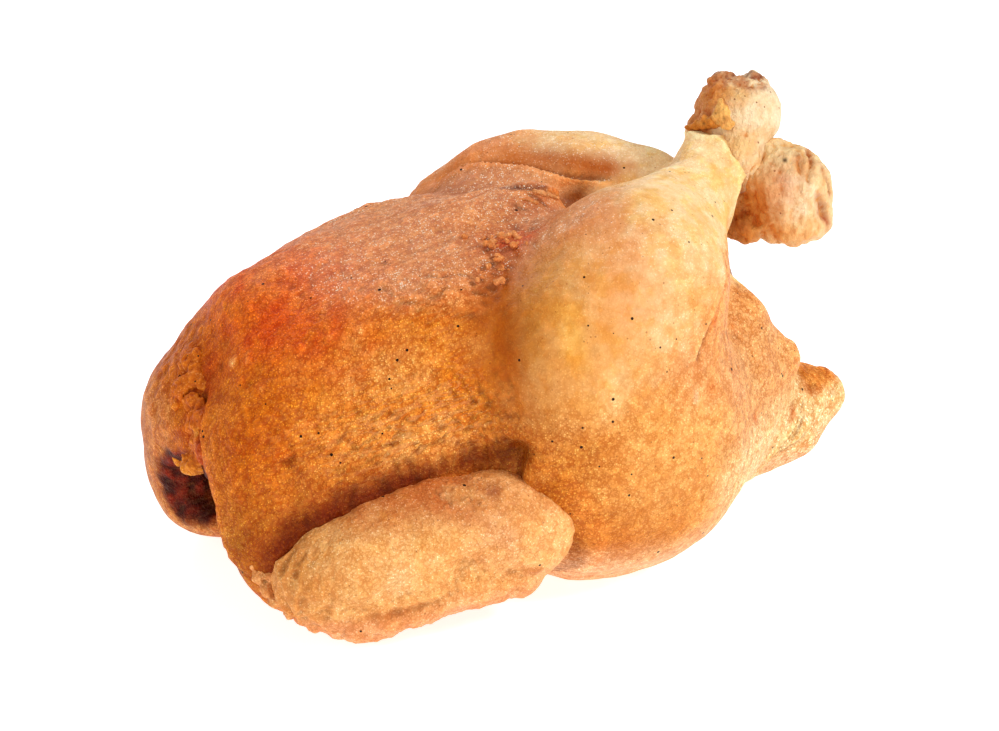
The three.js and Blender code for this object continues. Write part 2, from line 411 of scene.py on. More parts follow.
def remesh(obj, cell, smoothing):
    """Melts what overlaps into one even skin of small quads and takes the steps out of it."""
    pick(obj)
    modifier = obj.modifiers.new("melt", "REMESH")
    modifier.mode = "VOXEL"
    modifier.voxel_size = cell * MM
    bpy.ops.object.modifier_apply(modifier=modifier.name)
    bpy.ops.object.mode_set(mode="EDIT")
    bpy.ops.mesh.select_all(action="SELECT")
    bpy.ops.mesh.vertices_smooth(factor=0.5, repeat=smoothing)
    bpy.ops.object.mode_set(mode="OBJECT")
    bpy.ops.object.shade_smooth()


def lump(centre, radii, turn=(0, 0, 0)):
    """A rounded lump, turned by degrees about its own centre."""
    radii = (radii,) * 3 if np.isscalar(radii) else radii
    deselect_all()
    bpy.ops.mesh.primitive_uv_sphere_add(
        segments=24,
        ring_count=14,
        radius=MM,
        location=[c * MM for c in centre],
        rotation=[math.radians(a) for a in turn],
        scale=radii,
    )
    return bpy.context.object


def melted(name, lumps, cell, smoothing):
    """One closed piece grown from lumps that overlap."""
    made = [lump(*each) for each in lumps]
    pick(made[0])
    for each in made:
        each.select_set(True)
    bpy.context.view_layer.objects.active = made[0]
    bpy.ops.object.join()
    piece = bpy.context.object
    piece.name = piece.data.name = name
    settle(piece)
    remesh(piece, cell, smoothing)
    return piece


def chain(path, girth, count, side=NEAR):
    """Lumps along a path, with radii that run through the girths."""
    curve = eased(mirrored(path, side))
    picked = np.linspace(0, len(curve) - 1, count)
    columns = [np.interp(picked, np.arange(len(curve)), curve[:, axis]) for axis in range(3)]
    radii = np.interp(np.linspace(0, 1, count), np.linspace(0, 1, len(girth)), girth)
    return list(zip(np.column_stack(columns), radii))


class Clay:
    """A mesh as arrays in millimetres, to be shaped and painted."""

    def __init__(self, piece, colour):
        self.piece = piece
        mesh = piece.data
        self.at = self.read("vertices", "co", 3) / MM
        edges = np.empty(len(mesh.edges) * 2, np.int64)
        mesh.edges.foreach_get("vertices", edges)
        self.edges = edges.reshape(-1, 2)
        self.count = np.bincount(self.edges.ravel(), minlength=len(self.at))
        self.out = self.read("vertex_normals", "vector", 3)
        self.colour = np.tile(tone(colour), (len(self.at), 1))
        self.masks = {}

    def read(self, kind, field, width):
        source = getattr(self.piece.data, kind)
        values = np.empty(len(source) * width, np.float32)
        source.foreach_get(field, values)
        return values.reshape(-1, width).astype(float)

    @property
    def x(self):
        return self.at[:, 0]

    @property
    def y(self):
        return self.at[:, 1]

    @property
    def z(self):
        return self.at[:, 2]

    def refresh(self):
        """Writes the shape to the mesh and reads its normals again."""
        mesh = self.piece.data
        mesh.vertices.foreach_set("co", (self.at * MM).astype(np.float32).ravel())
        mesh.update()
        self.out = self.read("vertex_normals", "vector", 3)

    def push(self, amount):
        """Moves the surface outwards by an amount in millimetres for each point."""
        self.at = self.at + self.out * amount[:, None]
        self.refresh()

    def around(self, at):
        """The mean of each point's neighbours."""
        sums = np.zeros_like(at)
        for a, b in (self.edges.T, self.edges.T[::-1]):
            for axis in range(3):
                sums[:, axis] += np.bincount(a, at[b, axis], len(at))
        return sums / self.count[:, None]

    def even(self, share, rounds):
        """Smooths the shape where share is above 0."""
        for _ in range(rounds):
            self.at += (self.around(self.at) - self.at) * 0.5 * share[:, None]
        self.refresh()

    def depth(self, rounds):
        """How far each point lies below the evened surface round it, in millimetres."""
        level = self.at
        for _ in range(rounds):
            level = self.around(level)
        return np.einsum("ij,ij->i", level - self.at, self.out)

    def paint(self, share, colour):
        """Lays a colour over the paint where share is above 0."""
        share = np.clip(share, 0, 1)[:, None]
        self.colour = self.colour * (1 - share) + tone(colour) * share

    def shade(self, share, factor):
        """Multiplies the paint by a factor, or one for each channel, where share is above 0."""
        self.colour *= 1 + (np.asarray(factor) - 1) * np.clip(share, 0, 1)[:, None]

    def spot(self, centre, radius, ragged=0.0):
        """1 at a place, fading to 0 past the radius, with a ragged edge if asked for."""
        radius = np.array(radius, float)
        away = np.linalg.norm((self.at - centre) / radius, axis=1)
        if ragged:
            close = away < 4
            away[close] += ragged * rough(self.at[close], radius.mean() * 0.6, seed=3)
        return bell(away, 1.0)

    def line(self, path, width, side=NEAR):
        """1 along a path, fading to 0 past the width."""
        return bell(along(self.at, mirrored(path, side))[0], width)

    def dab(self, strength, colour, centre, radius, ragged=0.0, side=NEAR):
        """Paints a spot that is listed on the near side, on the side asked for."""
        self.paint(strength * self.spot(mirrored(centre, side), radius, ragged), colour)

    def paint_depth_shade_and_highlight(self, rounds, sunk, dark, raised, light):
        """Paints shade on what lies below the evened surface and a highlight on what stands above it."""
        close = self.depth(rounds)
        self.shade(ramp(close, *sunk), dark)
        self.shade(ramp(-close, *raised), light)

    def groove(self, path, width, depth):
        """A rounded furrow along a path, or a ridge if the depth is below 0."""
        d, share, _, _ = along(self.at, path)
        ends = ramp(share, 0, 0.12) * ramp(share, 1, 0.88)
        self.push(-depth * bell(d, width) * ends)

    def overlap(self, path, width, height):
        """A fold of skin that lies over its neighbour, raised on the left of the path."""
        d, share, offset, run = along(self.at, path)
        left = np.einsum("ij,ij->i", np.cross(self.out, run), offset)
        ends = ramp(share, 0, 0.15) * ramp(share, 1, 0.85)
        lifted = ramp(left, -0.5, 0.7) * np.exp(-np.maximum(left, 0) / width)
        sunk = ramp(-left, -0.5, 0.7) * np.exp(-np.maximum(-left, 0) / (width * 0.6))
        self.push(height * (lifted - sunk) * ends * bell(d, width * 2.5))

    def crinkle(self, share, run, length, width, height, seed=0):
        """Long fine wrinkles along a direction."""
        run = np.array(run, float) / np.linalg.norm(run)
        across = np.cross(run, (0.31, 0.47, 0.83))
        across /= np.linalg.norm(across)
        close = share > 0.02
        local = self.at[close] @ np.column_stack([run, across, np.cross(run, across)])
        local = local + rough(self.at[close], length, seed + 5)[:, None] * width * 1.3
        lines = np.zeros(len(self.at))
        lines[close] = 1 - 2.2 * np.abs(waves(local, np.array([length, width, width]), seed))
        self.push(height * lines * share)

    def wrinkle(self, table, side):
        """Wrinkles from a table that lists the near side's, on the side asked for."""
        for centre, radii, wrinkles in table:
            share = self.spot(mirrored(centre, side), radii)
            for run, length, width, height, seed in wrinkles:
                self.crinkle(share, mirrored(run, side), length, width, height, side + seed)

    def plain_masks(self, **values):
        for name, value in values.items():
            self.masks[name] = np.full(len(self.at), value)

    def keep(self):
        """Stores the paint and the masks on the mesh for its material."""
        mesh = self.piece.data
        paint = mesh.color_attributes.new("roast", "FLOAT_COLOR", "POINT")
        rgba = np.column_stack([np.clip(self.colour, 0, 1), np.ones(len(self.at))])
        paint.data.foreach_set("color", rgba.astype(np.float32).ravel())
        for name, values in self.masks.items():
            layer = mesh.attributes.new(name, "FLOAT", "POINT")
            layer.data.foreach_set("value", np.clip(values, 0, 1).astype(np.float32))


# ---- Shader groups ------------------------------------------------------------------------------


def feed(tree, node, values):
    """Sets a node's inputs to values, or links them to sockets."""
    for socket, value in values.items():
        if isinstance(value, bpy.types.NodeSocket):
            tree.links.new(value, node.inputs[socket])
        else:
            node.inputs[socket].default_value = value


def add(tree, kind, values=None, **settings):
    """A node with its settings and its inputs."""
    made = tree.nodes.new(kind)
    for name, value in settings.items():
        setattr(made, name, value)
    feed(tree, made, values or {})
    return made


def new_group(name, inputs, outputs):
    """An empty shader group with named sockets: inputs give a kind and a value, outputs a kind."""
    group = bpy.data.node_groups.new(name, "ShaderNodeTree")
    for socket, (kind, value) in inputs.items():
        made = group.interface.new_socket(socket, in_out="INPUT", socket_type="NodeSocket" + kind)
        made.default_value = value
    for socket, kind in outputs.items():
        group.interface.new_socket(socket, in_out="OUTPUT", socket_type="NodeSocket" + kind)
    return group, add(group, "NodeGroupInput").outputs, add(group, "NodeGroupOutput").inputs


def place(tree, group, values):
    """Puts a group in a material with that material's values, and gives the group's outputs."""
    made = add(tree, "ShaderNodeGroup", node_tree=group)
    feed(tree, made, values)
    return made.outputs


def maths(tree, operation, *values, clamp=False):
    """One sum on sockets or numbers."""
    made = add(tree, "ShaderNodeMath", dict(enumerate(values)), operation=operation, use_clamp=clamp)
    return made.outputs[0]


def spread(tree, value, low, high):
    """From 0 at low to 1 at high, eased at both."""
    values = {"Value": value, "From Min": low, "From Max": high}
    return add(tree, "ShaderNodeMapRange", values, interpolation_type="SMOOTHSTEP").outputs["Result"]


def mix_colour(tree, share, a, b, blend="MIX"):
    """Colour a with colour b laid over it, or another blend of the two."""
    made = add(tree, "ShaderNodeMix", data_type="RGBA", blend_type=blend)
    feed(tree, made, {0: share, 6: a, 7: b})
    return made.outputs[2]


def rgba(colour):
    return (*[float(c) for c in colour], 1.0)


def make_grain():
    """Round grains where the feathers sat, with grit between them. Some grains of grit shine."""
    group, given, result = new_group(
        "grain", {"Spacing": ("Float", 0.0011), "Grit": ("Float", 0.4)},
        {"Height": "Float", "Glint": "Float"},
    )  # fmt: skip
    place_on = add(group, "ShaderNodeTexCoord").outputs["Object"]
    scale = maths(group, "DIVIDE", 1.0, given["Spacing"])
    coarse = add(group, "ShaderNodeTexVoronoi", {"Vector": place_on, "Scale": scale})
    dome = spread(group, coarse.outputs["Distance"], 0.75, 0.1)
    finer = maths(group, "MULTIPLY", scale, 1.9)
    small = add(group, "ShaderNodeTexVoronoi", {"Vector": place_on, "Scale": finer})
    bead = spread(group, small.outputs["Distance"], 0.62, 0.1)
    swell = add(group, "ShaderNodeTexNoise", {"Vector": place_on, "Scale": 330.0, "Detail": 1.0})
    lift = spread(group, swell.outputs["Fac"], 0.35, 0.68)
    grit = maths(group, "MULTIPLY", bead, given["Grit"])
    both = maths(group, "ADD", maths(group, "MULTIPLY", dome, 0.40), maths(group, "MULTIPLY", grit, 0.45))
    height = maths(group, "ADD", both, maths(group, "MULTIPLY", lift, 0.30), clamp=True)
    luck = add(group, "ShaderNodeSeparateColor", {"Color": small.outputs["Color"]}).outputs["Red"]
    chosen = spread(group, luck, 0.35, 0.95)
    tall = spread(group, height, 0.35, 0.85)
    group.links.new(height, result["Height"])
    group.links.new(maths(group, "MULTIPLY", maths(group, "MULTIPLY", bead, chosen), tall), result["Glint"])
    return group


def make_mottle():
    """Uneven browning: soft or flaky patches that tint the colour under them."""
    group, given, result = new_group(
        "mottle",
        {"Base": ("Color", (1, 1, 1, 1)), "Tint": ("Color", (1, 1, 1, 1)), "Scale": ("Float", 90.0),
         "Crispness": ("Float", 0.0), "Amount": ("Float", 0.5)},
        {"Color": "Color"},
    )  # fmt: skip
    place_on = add(group, "ShaderNodeTexCoord").outputs["Object"]
    cloud = add(group, "ShaderNodeTexNoise",
                {"Vector": place_on, "Scale": given["Scale"], "Detail": 3.0, "Roughness": 0.62})  # fmt: skip
    low = maths(group, "MULTIPLY_ADD", given["Crispness"], 0.07, 0.42)
    high = maths(group, "MULTIPLY_ADD", given["Crispness"], -0.08, 0.66)
    share = spread(group, cloud.outputs["Fac"], low, high)
    share = maths(group, "MULTIPLY", share, given["Amount"], clamp=True)
    group.links.new(mix_colour(group, share, given["Base"], given["Tint"], "MULTIPLY"), result["Color"])
    return group


def make_specks():
    """Scattered round specks: one in some of the cells of a grid."""
    group, given, result = new_group(
        "specks",
        {"Spacing": ("Float", 0.006), "Size": ("Float", 0.06), "Share": ("Float", 0.3)},
        {"Mask": "Float"},
    )  # fmt: skip
    place_on = add(group, "ShaderNodeTexCoord").outputs["Object"]
    scale = maths(group, "DIVIDE", 1.0, given["Spacing"])
    cells = add(group, "ShaderNodeTexVoronoi", {"Vector": place_on, "Scale": scale})
    split = add(group, "ShaderNodeSeparateColor", {"Color": cells.outputs["Color"]}).outputs
    radius = maths(group, "MULTIPLY", given["Size"], maths(group, "ADD", 0.5, split["Green"]))
    inside = maths(group, "LESS_THAN", cells.outputs["Distance"], radius)
    chosen = maths(group, "LESS_THAN", split["Red"], given["Share"])
    group.links.new(maths(group, "MULTIPLY", inside, chosen), result["Mask"])
    return group


def make_fibres():
    """Fine streaks that run up and down, as on torn meat and tendons."""
    group, given, result = new_group(
        "fibres", {"Scale": ("Float", 500.0), "Stretch": ("Vector", (1, 1, 0.2))},
        {"Height": "Float"},
    )  # fmt: skip
    place_on = add(group, "ShaderNodeTexCoord").outputs["Object"]
    pulled = add(group, "ShaderNodeVectorMath", {0: place_on, 1: given["Stretch"]},
                 operation="MULTIPLY")  # fmt: skip
    streaks = add(group, "ShaderNodeTexNoise",
                  {"Vector": pulled.outputs[0], "Scale": given["Scale"], "Detail": 3.0})  # fmt: skip
    group.links.new(spread(group, streaks.outputs["Fac"], 0.3, 0.7), result["Height"])
    return group


def make_wrinkles():
    """Fine lines that run lengthways and a little uphill, as where skin has shrunk."""
    group, given, result = new_group("wrinkles", {"Scale": ("Float", 600.0)}, {"Height": "Float"})
    place_on = add(group, "ShaderNodeTexCoord").outputs["Object"]
    turned = add(group, "ShaderNodeVectorRotate", {"Vector": place_on, "Angle": 0.26, "Axis": (0, 1, 0)})
    pulled = add(group, "ShaderNodeVectorMath", {0: turned.outputs[0], 1: (0.22, 1, 1)},
                 operation="MULTIPLY")  # fmt: skip
    lines = add(group, "ShaderNodeTexNoise",
                {"Vector": pulled.outputs[0], "Scale": given["Scale"], "Detail": 2.0,
                 "Distortion": 0.9})  # fmt: skip
    middle = maths(group, "ABSOLUTE", maths(group, "SUBTRACT", lines.outputs["Fac"], 0.5))
    group.links.new(spread(group, middle, 0.075, 0.0), result["Height"])
    return group


GRAIN = make_grain()
WRINKLES = make_wrinkles()
MOTTLE = make_mottle()
SPECKS = make_specks()
FIBRES = make_fibres()

# ---- Materials ----------------------------------------------------------------------------------


def new_material(name):
    material = bpy.data.materials.new(name)
    material.use_nodes = True
    tree = material.node_tree
    return material, tree, tree.nodes["Principled BSDF"]


def grease(tree, shader, roughness, coat, coat_roughness, flesh):
    """The plain numbers of a greasy cooked surface with flesh that light sinks into."""
    feed(tree, shader, {
        "Roughness": roughness, "Specular IOR Level": 0.07, "Coat Weight": coat,
        "Coat Roughness": coat_roughness, "Subsurface Weight": flesh,
        "Subsurface Radius": (1.0, 0.42, 0.16), "Subsurface Scale": 1.2 * MM,
    })  # fmt: skip


def painted(tree, name="roast"):
    return add(tree, "ShaderNodeAttribute", attribute_name=name).outputs


def make_skin(name, spacing, relief, contrast, pepper):
    """Crisp skin over painted browning: grain, painted shade and glints, flakes, painted sheen, pepper."""
    material, tree, shader = new_material(name)
    grease(tree, shader, roughness=0.40, coat=0.02, coat_roughness=0.20, flesh=0.05)
    masks = {mask: painted(tree, mask)["Fac"] for mask in ("grainy", "flaky", "frosted", "golden")}
    grain = place(tree, GRAIN, {"Spacing": spacing, "Grit": 1.0})
    height = grain["Height"]
    cloudy = place(tree, MOTTLE, {"Base": painted(tree)["Color"], "Tint": TOASTED, "Scale": 80.0,
                                  "Amount": 0.45})  # fmt: skip
    gold = maths(tree, "MULTIPLY", masks["golden"], 0.75)
    golden = place(tree, MOTTLE, {"Base": cloudy["Color"], "Tint": GLOSSY_GOLD, "Scale": 130.0,
                                  "Crispness": 0.3, "Amount": gold})  # fmt: skip
    flake = maths(tree, "MULTIPLY", masks["flaky"], 0.4)
    flaky = place(tree, MOTTLE, {"Base": golden["Color"], "Tint": FLAKY_LIGHT, "Scale": 210.0,
                                 "Crispness": 0.2, "Amount": flake})  # fmt: skip
    amount = maths(tree, "MULTIPLY", masks["grainy"], contrast)
    # painted shade between the grains and painted highlight on their tops
    valley = maths(tree, "MULTIPLY", spread(tree, height, 0.50, 0.06), amount, clamp=True)
    deep = mix_colour(tree, valley, flaky["Color"], GRAIN_SHADE, "MULTIPLY")
    bright = maths(tree, "MULTIPLY", spread(tree, height, 0.40, 0.95), amount, clamp=True)
    lit = mix_colour(tree, bright, deep, GRAIN_HIGHLIGHT, "MULTIPLY")
    ridge = place(tree, WRINKLES, {"Scale": 430.0})["Height"]
    line = maths(tree, "MULTIPLY", ridge, masks["flaky"], clamp=True)
    # painted highlight along the wrinkle ridges
    lit = mix_colour(tree, maths(tree, "MULTIPLY", line, 0.36), lit, rgba(RIDGE_HIGHLIGHT))
    # painted glints on the few grains that shine
    beads = maths(tree, "MULTIPLY", grain["Glint"], amount, clamp=True)
    glinting = mix_colour(tree, beads, lit, FAT_GLINT, "MULTIPLY")
    # painted sheen where its mask is set
    white = maths(tree, "MULTIPLY_ADD", grain["Glint"], 2.1, 0.08)
    frost = maths(tree, "MULTIPLY", white, masks["frosted"], clamp=True)
    frosted = mix_colour(tree, frost, glinting, rgba(SHEEN_PAINT))
    freckles = place(tree, SPECKS, {"Spacing": 0.0024, "Size": 0.09, "Share": pepper})
    freckled = mix_colour(tree, maths(tree, "MULTIPLY", freckles["Mask"], 0.5), frosted, rgba(SEARED))
    specks = place(tree, SPECKS, {"Spacing": 0.0056, "Size": 0.064, "Share": pepper})
    tree.links.new(mix_colour(tree, specks["Mask"], freckled, rgba(PEPPER)), shader.inputs["Base Color"])
    shine = maths(tree, "MULTIPLY_ADD", grain["Glint"], -0.18, 0.44)
    tree.links.new(shine, shader.inputs["Roughness"])
    rise = maths(tree, "MULTIPLY_ADD", masks["grainy"], 0.8, 0.2)
    bumps = maths(tree, "ADD", maths(tree, "MULTIPLY", height, rise), maths(tree, "MULTIPLY", line, 0.6))
    bump = add(tree, "ShaderNodeBump", {"Height": bumps, "Strength": 1.0, "Distance": relief * MM})
    tree.links.new(bump.outputs["Normal"], shader.inputs["Normal"])
    return material


def make_leg_end_skin(name):
    """Pale dried skin and gristle over the bare end of a leg."""
    material, tree, shader = new_material(name)
    grease(tree, shader, roughness=0.46, coat=0.04, coat_roughness=0.3, flesh=0.06)
    paint = painted(tree)["Color"]
    cloudy = place(tree, MOTTLE, {"Base": paint, "Tint": TANNED, "Scale": 170.0, "Amount": 0.5})
    blush = place(tree, MOTTLE, {"Base": cloudy["Color"], "Tint": BLUSHED, "Scale": 420.0,
                                 "Crispness": 0.2, "Amount": 0.3})  # fmt: skip
    grain = place(tree, GRAIN, {"Spacing": 0.0013, "Grit": 0.8})["Height"]
    # painted shade between the grains
    sunk = maths(tree, "SUBTRACT", 1.0, grain, clamp=True)
    deep = mix_colour(tree, maths(tree, "MULTIPLY", sunk, 0.35), blush["Color"], BONE_GRAIN_SHADE, "MULTIPLY")
    specks = place(tree, SPECKS, {"Spacing": 0.003, "Size": 0.10, "Share": 0.3})
    base = mix_colour(tree, maths(tree, "MULTIPLY", specks["Mask"], 0.8), deep, rgba(SEARED))
    tree.links.new(base, shader.inputs["Base Color"])
    fibres = place(tree, FIBRES, {"Scale": 620.0, "Stretch": (1, 1, 0.35)})
    height = maths(tree, "ADD", fibres["Height"], grain)
    bump = add(tree, "ShaderNodeBump", {"Height": height, "Strength": 1.0, "Distance": 0.3 * MM})
    tree.links.new(bump.outputs["Normal"], shader.inputs["Normal"])
    return material


def make_floor_white():
    material, tree, shader = new_material("white_table")
    feed(tree, shader, {
        "Roughness": 0.8, "Specular IOR Level": 0.1,
        "Emission Color": (1, 1, 1, 1), "Emission Strength": 0.78,
    })  # fmt: skip
    cloud = add(tree, "ShaderNodeTexNoise", {"Scale": 3.0, "Detail": 2.0})
    base = mix_colour(tree, cloud.outputs["Fac"], (0.66, 0.67, 0.72, 1), (0.69, 0.70, 0.75, 1))
    tree.links.new(base, shader.inputs["Base Color"])
    return material


ROAST_SKIN = make_skin("roast_skin", 0.00115, 0.42, 1.0, 0.8)
WING_SKIN_FINISH = make_skin("wing_skin", 0.00100, 0.30, 0.8, 0.6)
LEG_END = make_leg_end_skin("leg_end")

# ---- Pieces -------------------------------------------------------------------------------------


def finished(piece, material):
    """Gives a piece its finish and its place on the bird."""
    piece.data.materials.clear()
    piece.data.materials.append(material)
    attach(piece, "root")
    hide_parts("roast_chicken")


def copy_of_bird():
    """The bird's packed form as a mesh of its own, with loose triangles joined."""
    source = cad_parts["roast_chicken"]
    bird = source.copy()
    bird.data = source.data.copy()
    bird.parent = None
    for key in list(bird.keys()):
        del bird[key]
    bpy.context.scene.collection.objects.link(bird)
    bird.name = bird.data.name = "skin"
    pick(bird)
    bpy.ops.object.mode_set(mode="EDIT")
    bpy.ops.mesh.select_all(action="SELECT")
    bpy.ops.mesh.remove_doubles(threshold=0.01 * MM)
    bpy.ops.object.mode_set(mode="OBJECT")
    rounded = bird.modifiers.new("rounded", "SUBSURF")
    rounded.levels = rounded.render_levels = 1
    bpy.ops.object.modifier_apply(modifier=rounded.name)
    remesh(bird, SKIN_CELL, smoothing=4)
    return bird


def split_at_skin_edge(bird):
    """Adds clean edge lines round the leg where the upper leg's skin ends."""
    pick(bird)
    for at, facing in SKIN_EDGES:
        bpy.ops.object.mode_set(mode="EDIT")
        bpy.ops.mesh.select_all(action="DESELECT")
        bpy.ops.object.mode_set(mode="OBJECT")
        middle = Vector(at) * MM
        for polygon in bird.data.polygons:
            polygon.select = (polygon.center - middle).length < 20 * MM
        bpy.ops.object.mode_set(mode="EDIT")
        bpy.ops.mesh.bisect(plane_co=middle, plane_no=facing)
    bpy.ops.object.mode_set(mode="OBJECT")


def leg_share(clay, side, reach):
    """1 on a drumstick and 0 away from it."""
    d, _, _, _ = along(clay.at, LEG_LINE[side])
    x, y, z = clay.at.T
    seam_x, _, seam_z = np.array(LEG_SEAM[::-1]).T
    belly = ramp(x - np.interp(z, seam_z, seam_x), -0.5, 1.5) * ramp(z, 104, 98) * ramp(y * side, 8, 26)
    return ramp(d, reach + 7, reach - 5) * (1 - belly)


def tuck_under_wings(clay):
    """Draws the skin in where a wing lies on it."""
    for side in (NEAR, FAR):
        for path, girth in ((WING_BONE, WING_GIRTH), (WING_SKIN, WING_SKIN_GIRTH)):
            d, share, offset, _ = along(clay.at, mirrored(path, side))
            radius = np.interp(share, np.linspace(0, 1, len(girth)), girth)
            under = ramp(d - radius, 9.0, 3.0)
            clay.at -= offset * (under * np.clip(d - radius + 4, 0, 10) / np.maximum(d, 1))[:, None]
        clay.refresh()
        clay.even(under, 4)


def tuck_under_leg_ends(clay):
    """Draws the skin in inside the bare leg ends, and back from the gap between the crossed legs."""
    d_far, _, offset_far, _ = along(clay.at, FAR_ANKLE)
    d_near, _, offset_near, _ = along(clay.at, NEAR_ANKLE)
    ragged = rough(clay.at, 3.2, 7)
    beyond = np.zeros(len(clay.at), bool)
    lip = np.zeros(len(clay.at))
    for at, facing in SKIN_EDGES:
        past_edge = (clay.at - at) @ facing
        beyond |= past_edge > 0.05
        lip = np.maximum(lip, bell(past_edge, 1.3) * (d_near < 19))
    near = beyond & (clay.z > 100) & (d_near < 27) & (d_near < d_far + 3)
    clay.at[near] -= offset_near[near] * DRAWN_IN[NEAR]
    edge = lip * ~near  # what is left of the skin there ends in a wavy lip
    wave = edge * 0.9 * ragged
    clay.at += np.array((0.7, 0, 0.7)) * wave[:, None] + clay.out * (0.5 * edge)[:, None]
    far = ~near & (d_far < 22) & (clay.y < 14)
    clay.at -= offset_far * (DRAWN_IN[FAR] * far * ramp(clay.x, 66, 74))[:, None]
    reach, height = clay.at @ BACKWARDS, clay.at @ UPWARDS
    past = np.maximum(reach - np.interp(height, *zip(*LEG_GAP)), 0)
    between = ramp(height, 62, 66) * ramp(height, 109, 106) * ramp(clay.y, 34, 24) * ~near
    clay.at -= BACKWARDS * (past * between)[:, None]
    clay.refresh()
    clay.even(between * ramp(past, 0.0, 0.8) * ramp(height, 70, 76), 3)


def shape_form(clay):
    """Large soft forms: fuller thighs, the belly's edge, the breast's uneven flanks."""
    for centre, radii, amount in PAIRED_PULLS:
        clay.push(amount * (clay.spot(centre, radii) + clay.spot(mirrored(centre, FAR), radii)))
    for centre, radii, amount in SINGLE_PULLS:
        clay.push(amount * clay.spot(centre, radii))
    clay.push(0.9 * waves(clay.at, 30, 1) + 0.45 * waves(clay.at, 13, 2))
    for side in (NEAR, FAR):
        clay.groove(mirrored(THIGH_VALLEY, side), width=9, depth=1.6)
        clay.groove(mirrored(SHOULDER_VALLEY, side), width=4, depth=1.6)
        clay.groove(mirrored(WING_CREASE, side), width=4.5, depth=2.6)
        clay.push(-5.5 * clay.spot(mirrored(WING_PIT, side), 4.0))


def shape_neck(clay):
    """The shoulder's skin hangs past the neck, whose own skin is bunched round the hollow."""
    clay.overlap(SHOULDER_EDGE, width=4.5, height=2.2)
    clay.groove(NECK_LINE, width=2.2, depth=1.8)
    far_edge = mirrored(SHOULDER_EDGE, FAR) + (4, 9, 0)
    clay.groove(far_edge, width=3.0, depth=1.6)
    rim = ramp(along(clay.at, NECK_HOLLOW)[0], 24, 15) * ramp(clay.x, -92, -100)
    clay.push(rim * (1.3 * pebbles(clay.at, 5.5, 4) + 0.5 * rough(clay.at, 3.0, 2)))
    bunched = clay.spot((-103, 4, 62), (14, 20, 20)) * ramp(clay.y, -22, -12)
    clay.push(bunched * (1.2 * rough(clay.at, 9, 6) + 0.8 * pebbles(clay.at, 4.5, 2)))


def shape_breast(clay):
    """Fine wrinkles over the breast and folds where it meets the drumsticks."""
    clay.overlap(BREAST_CREST, width=5.5, height=2.3)
    clay.overlap(BREAST_TIP_FOLD, width=3.0, height=1.0)
    clay.push(-3.0 * clay.spot(BREAST_TIP_PIT, (7, 6, 5)))
    for side in (NEAR, FAR):
        clay.wrinkle(BREAST_WRINKLES, side)
        for i in range(4):
            arc = [(-48 - 2 * i, -26 - 3.4 * i, 101 - 1.4 * i), (-38, -33 - 3.0 * i, 99.5 - 1.6 * i),
                   (-28 + i, -39 - 3.0 * i, 97 - 1.8 * i)]  # fmt: skip
            clay.groove(mirrored(arc, side), width=1.6, depth=-0.85)
    clay.push(clay.line(LEG_RIDGE, 4.0) * 0.6 * rough(clay.at, 3.4, 17))
    top = ramp(clay.z, 82, 94) * ramp(clay.x, 16, -4)
    clay.push(top * (0.26 * waves(clay.at, 3.6, 8) + 0.18 * waves(clay.at, 2.5, 9)))
    face = ramp(clay.x, -30, -50) * ramp(clay.z, 30, 45)
    clay.push(face * (0.25 * waves(clay.at, 5.5, 10)))


def shape_rump(clay):
    """Slanting wrinkles between thigh and belly, and the tail's stepped folds."""
    for side in (NEAR, FAR):
        clay.wrinkle(RUMP_WRINKLES, side)
        clay.overlap(mirrored(LEG_SEAM, side)[::side], width=4.0, height=1.0)
        for i in range(3):
            fold = mirrored([(92, -9 - i, 33 - 4 * i), (84, -17 - i, 27 - 3 * i),
                             (73, -25 - i, 21 - 3 * i), (66, -31, 16 - 3 * i)], side)  # fmt: skip
            clay.overlap(fold[::side], width=3.0, height=1.1)
    crust = ramp(clay.x, 92, 99) * ramp(clay.z, 26, 33)
    clay.push(crust * (0.7 * rough(clay.at, 5.5, 12) + 0.5 * pebbles(clay.at, 4.2, 13)))
    vent = clay.spot((92, 0, 47), (12, 13, 10))
    clay.push(vent * (0.9 * rough(clay.at, 6, 11)))


def shape_grain(clay):
    """Small unevenness all over the skin."""
    smooth_leg = np.maximum(leg_share(clay, NEAR, 26), leg_share(clay, FAR, 26))
    clay.push((1 - 0.75 * smooth_leg) * (0.16 * waves(clay.at, 4.5, 14) + 0.10 * waves(clay.at, 2.7, 15)))
    bubbles = (
        (-77, -32, 81), (-69, -35, 85), (-93, -18, 74), (-93, -26, 71), (-89, -33, 71),
        (-61, -38, 87), (-60, -42, 83), (-90, -23, 76), (-84, 22, 80), (-72, 36, 84),
    )  # fmt: skip
    clay.bubbled = np.zeros(len(clay.at))
    for i, centre in enumerate(bubbles):
        bubble = clay.spot(centre, 1.8 + 0.4 * (i % 3))
        clay.push(0.8 * bubble)
        clay.bubbled = np.maximum(clay.bubbled, bubble * (0.5 + 0.25 * (i % 3)))


def rest_on_ground(clay):
    clay.at[:, 2] = np.maximum(clay.z, 0.0)
    clay.refresh()


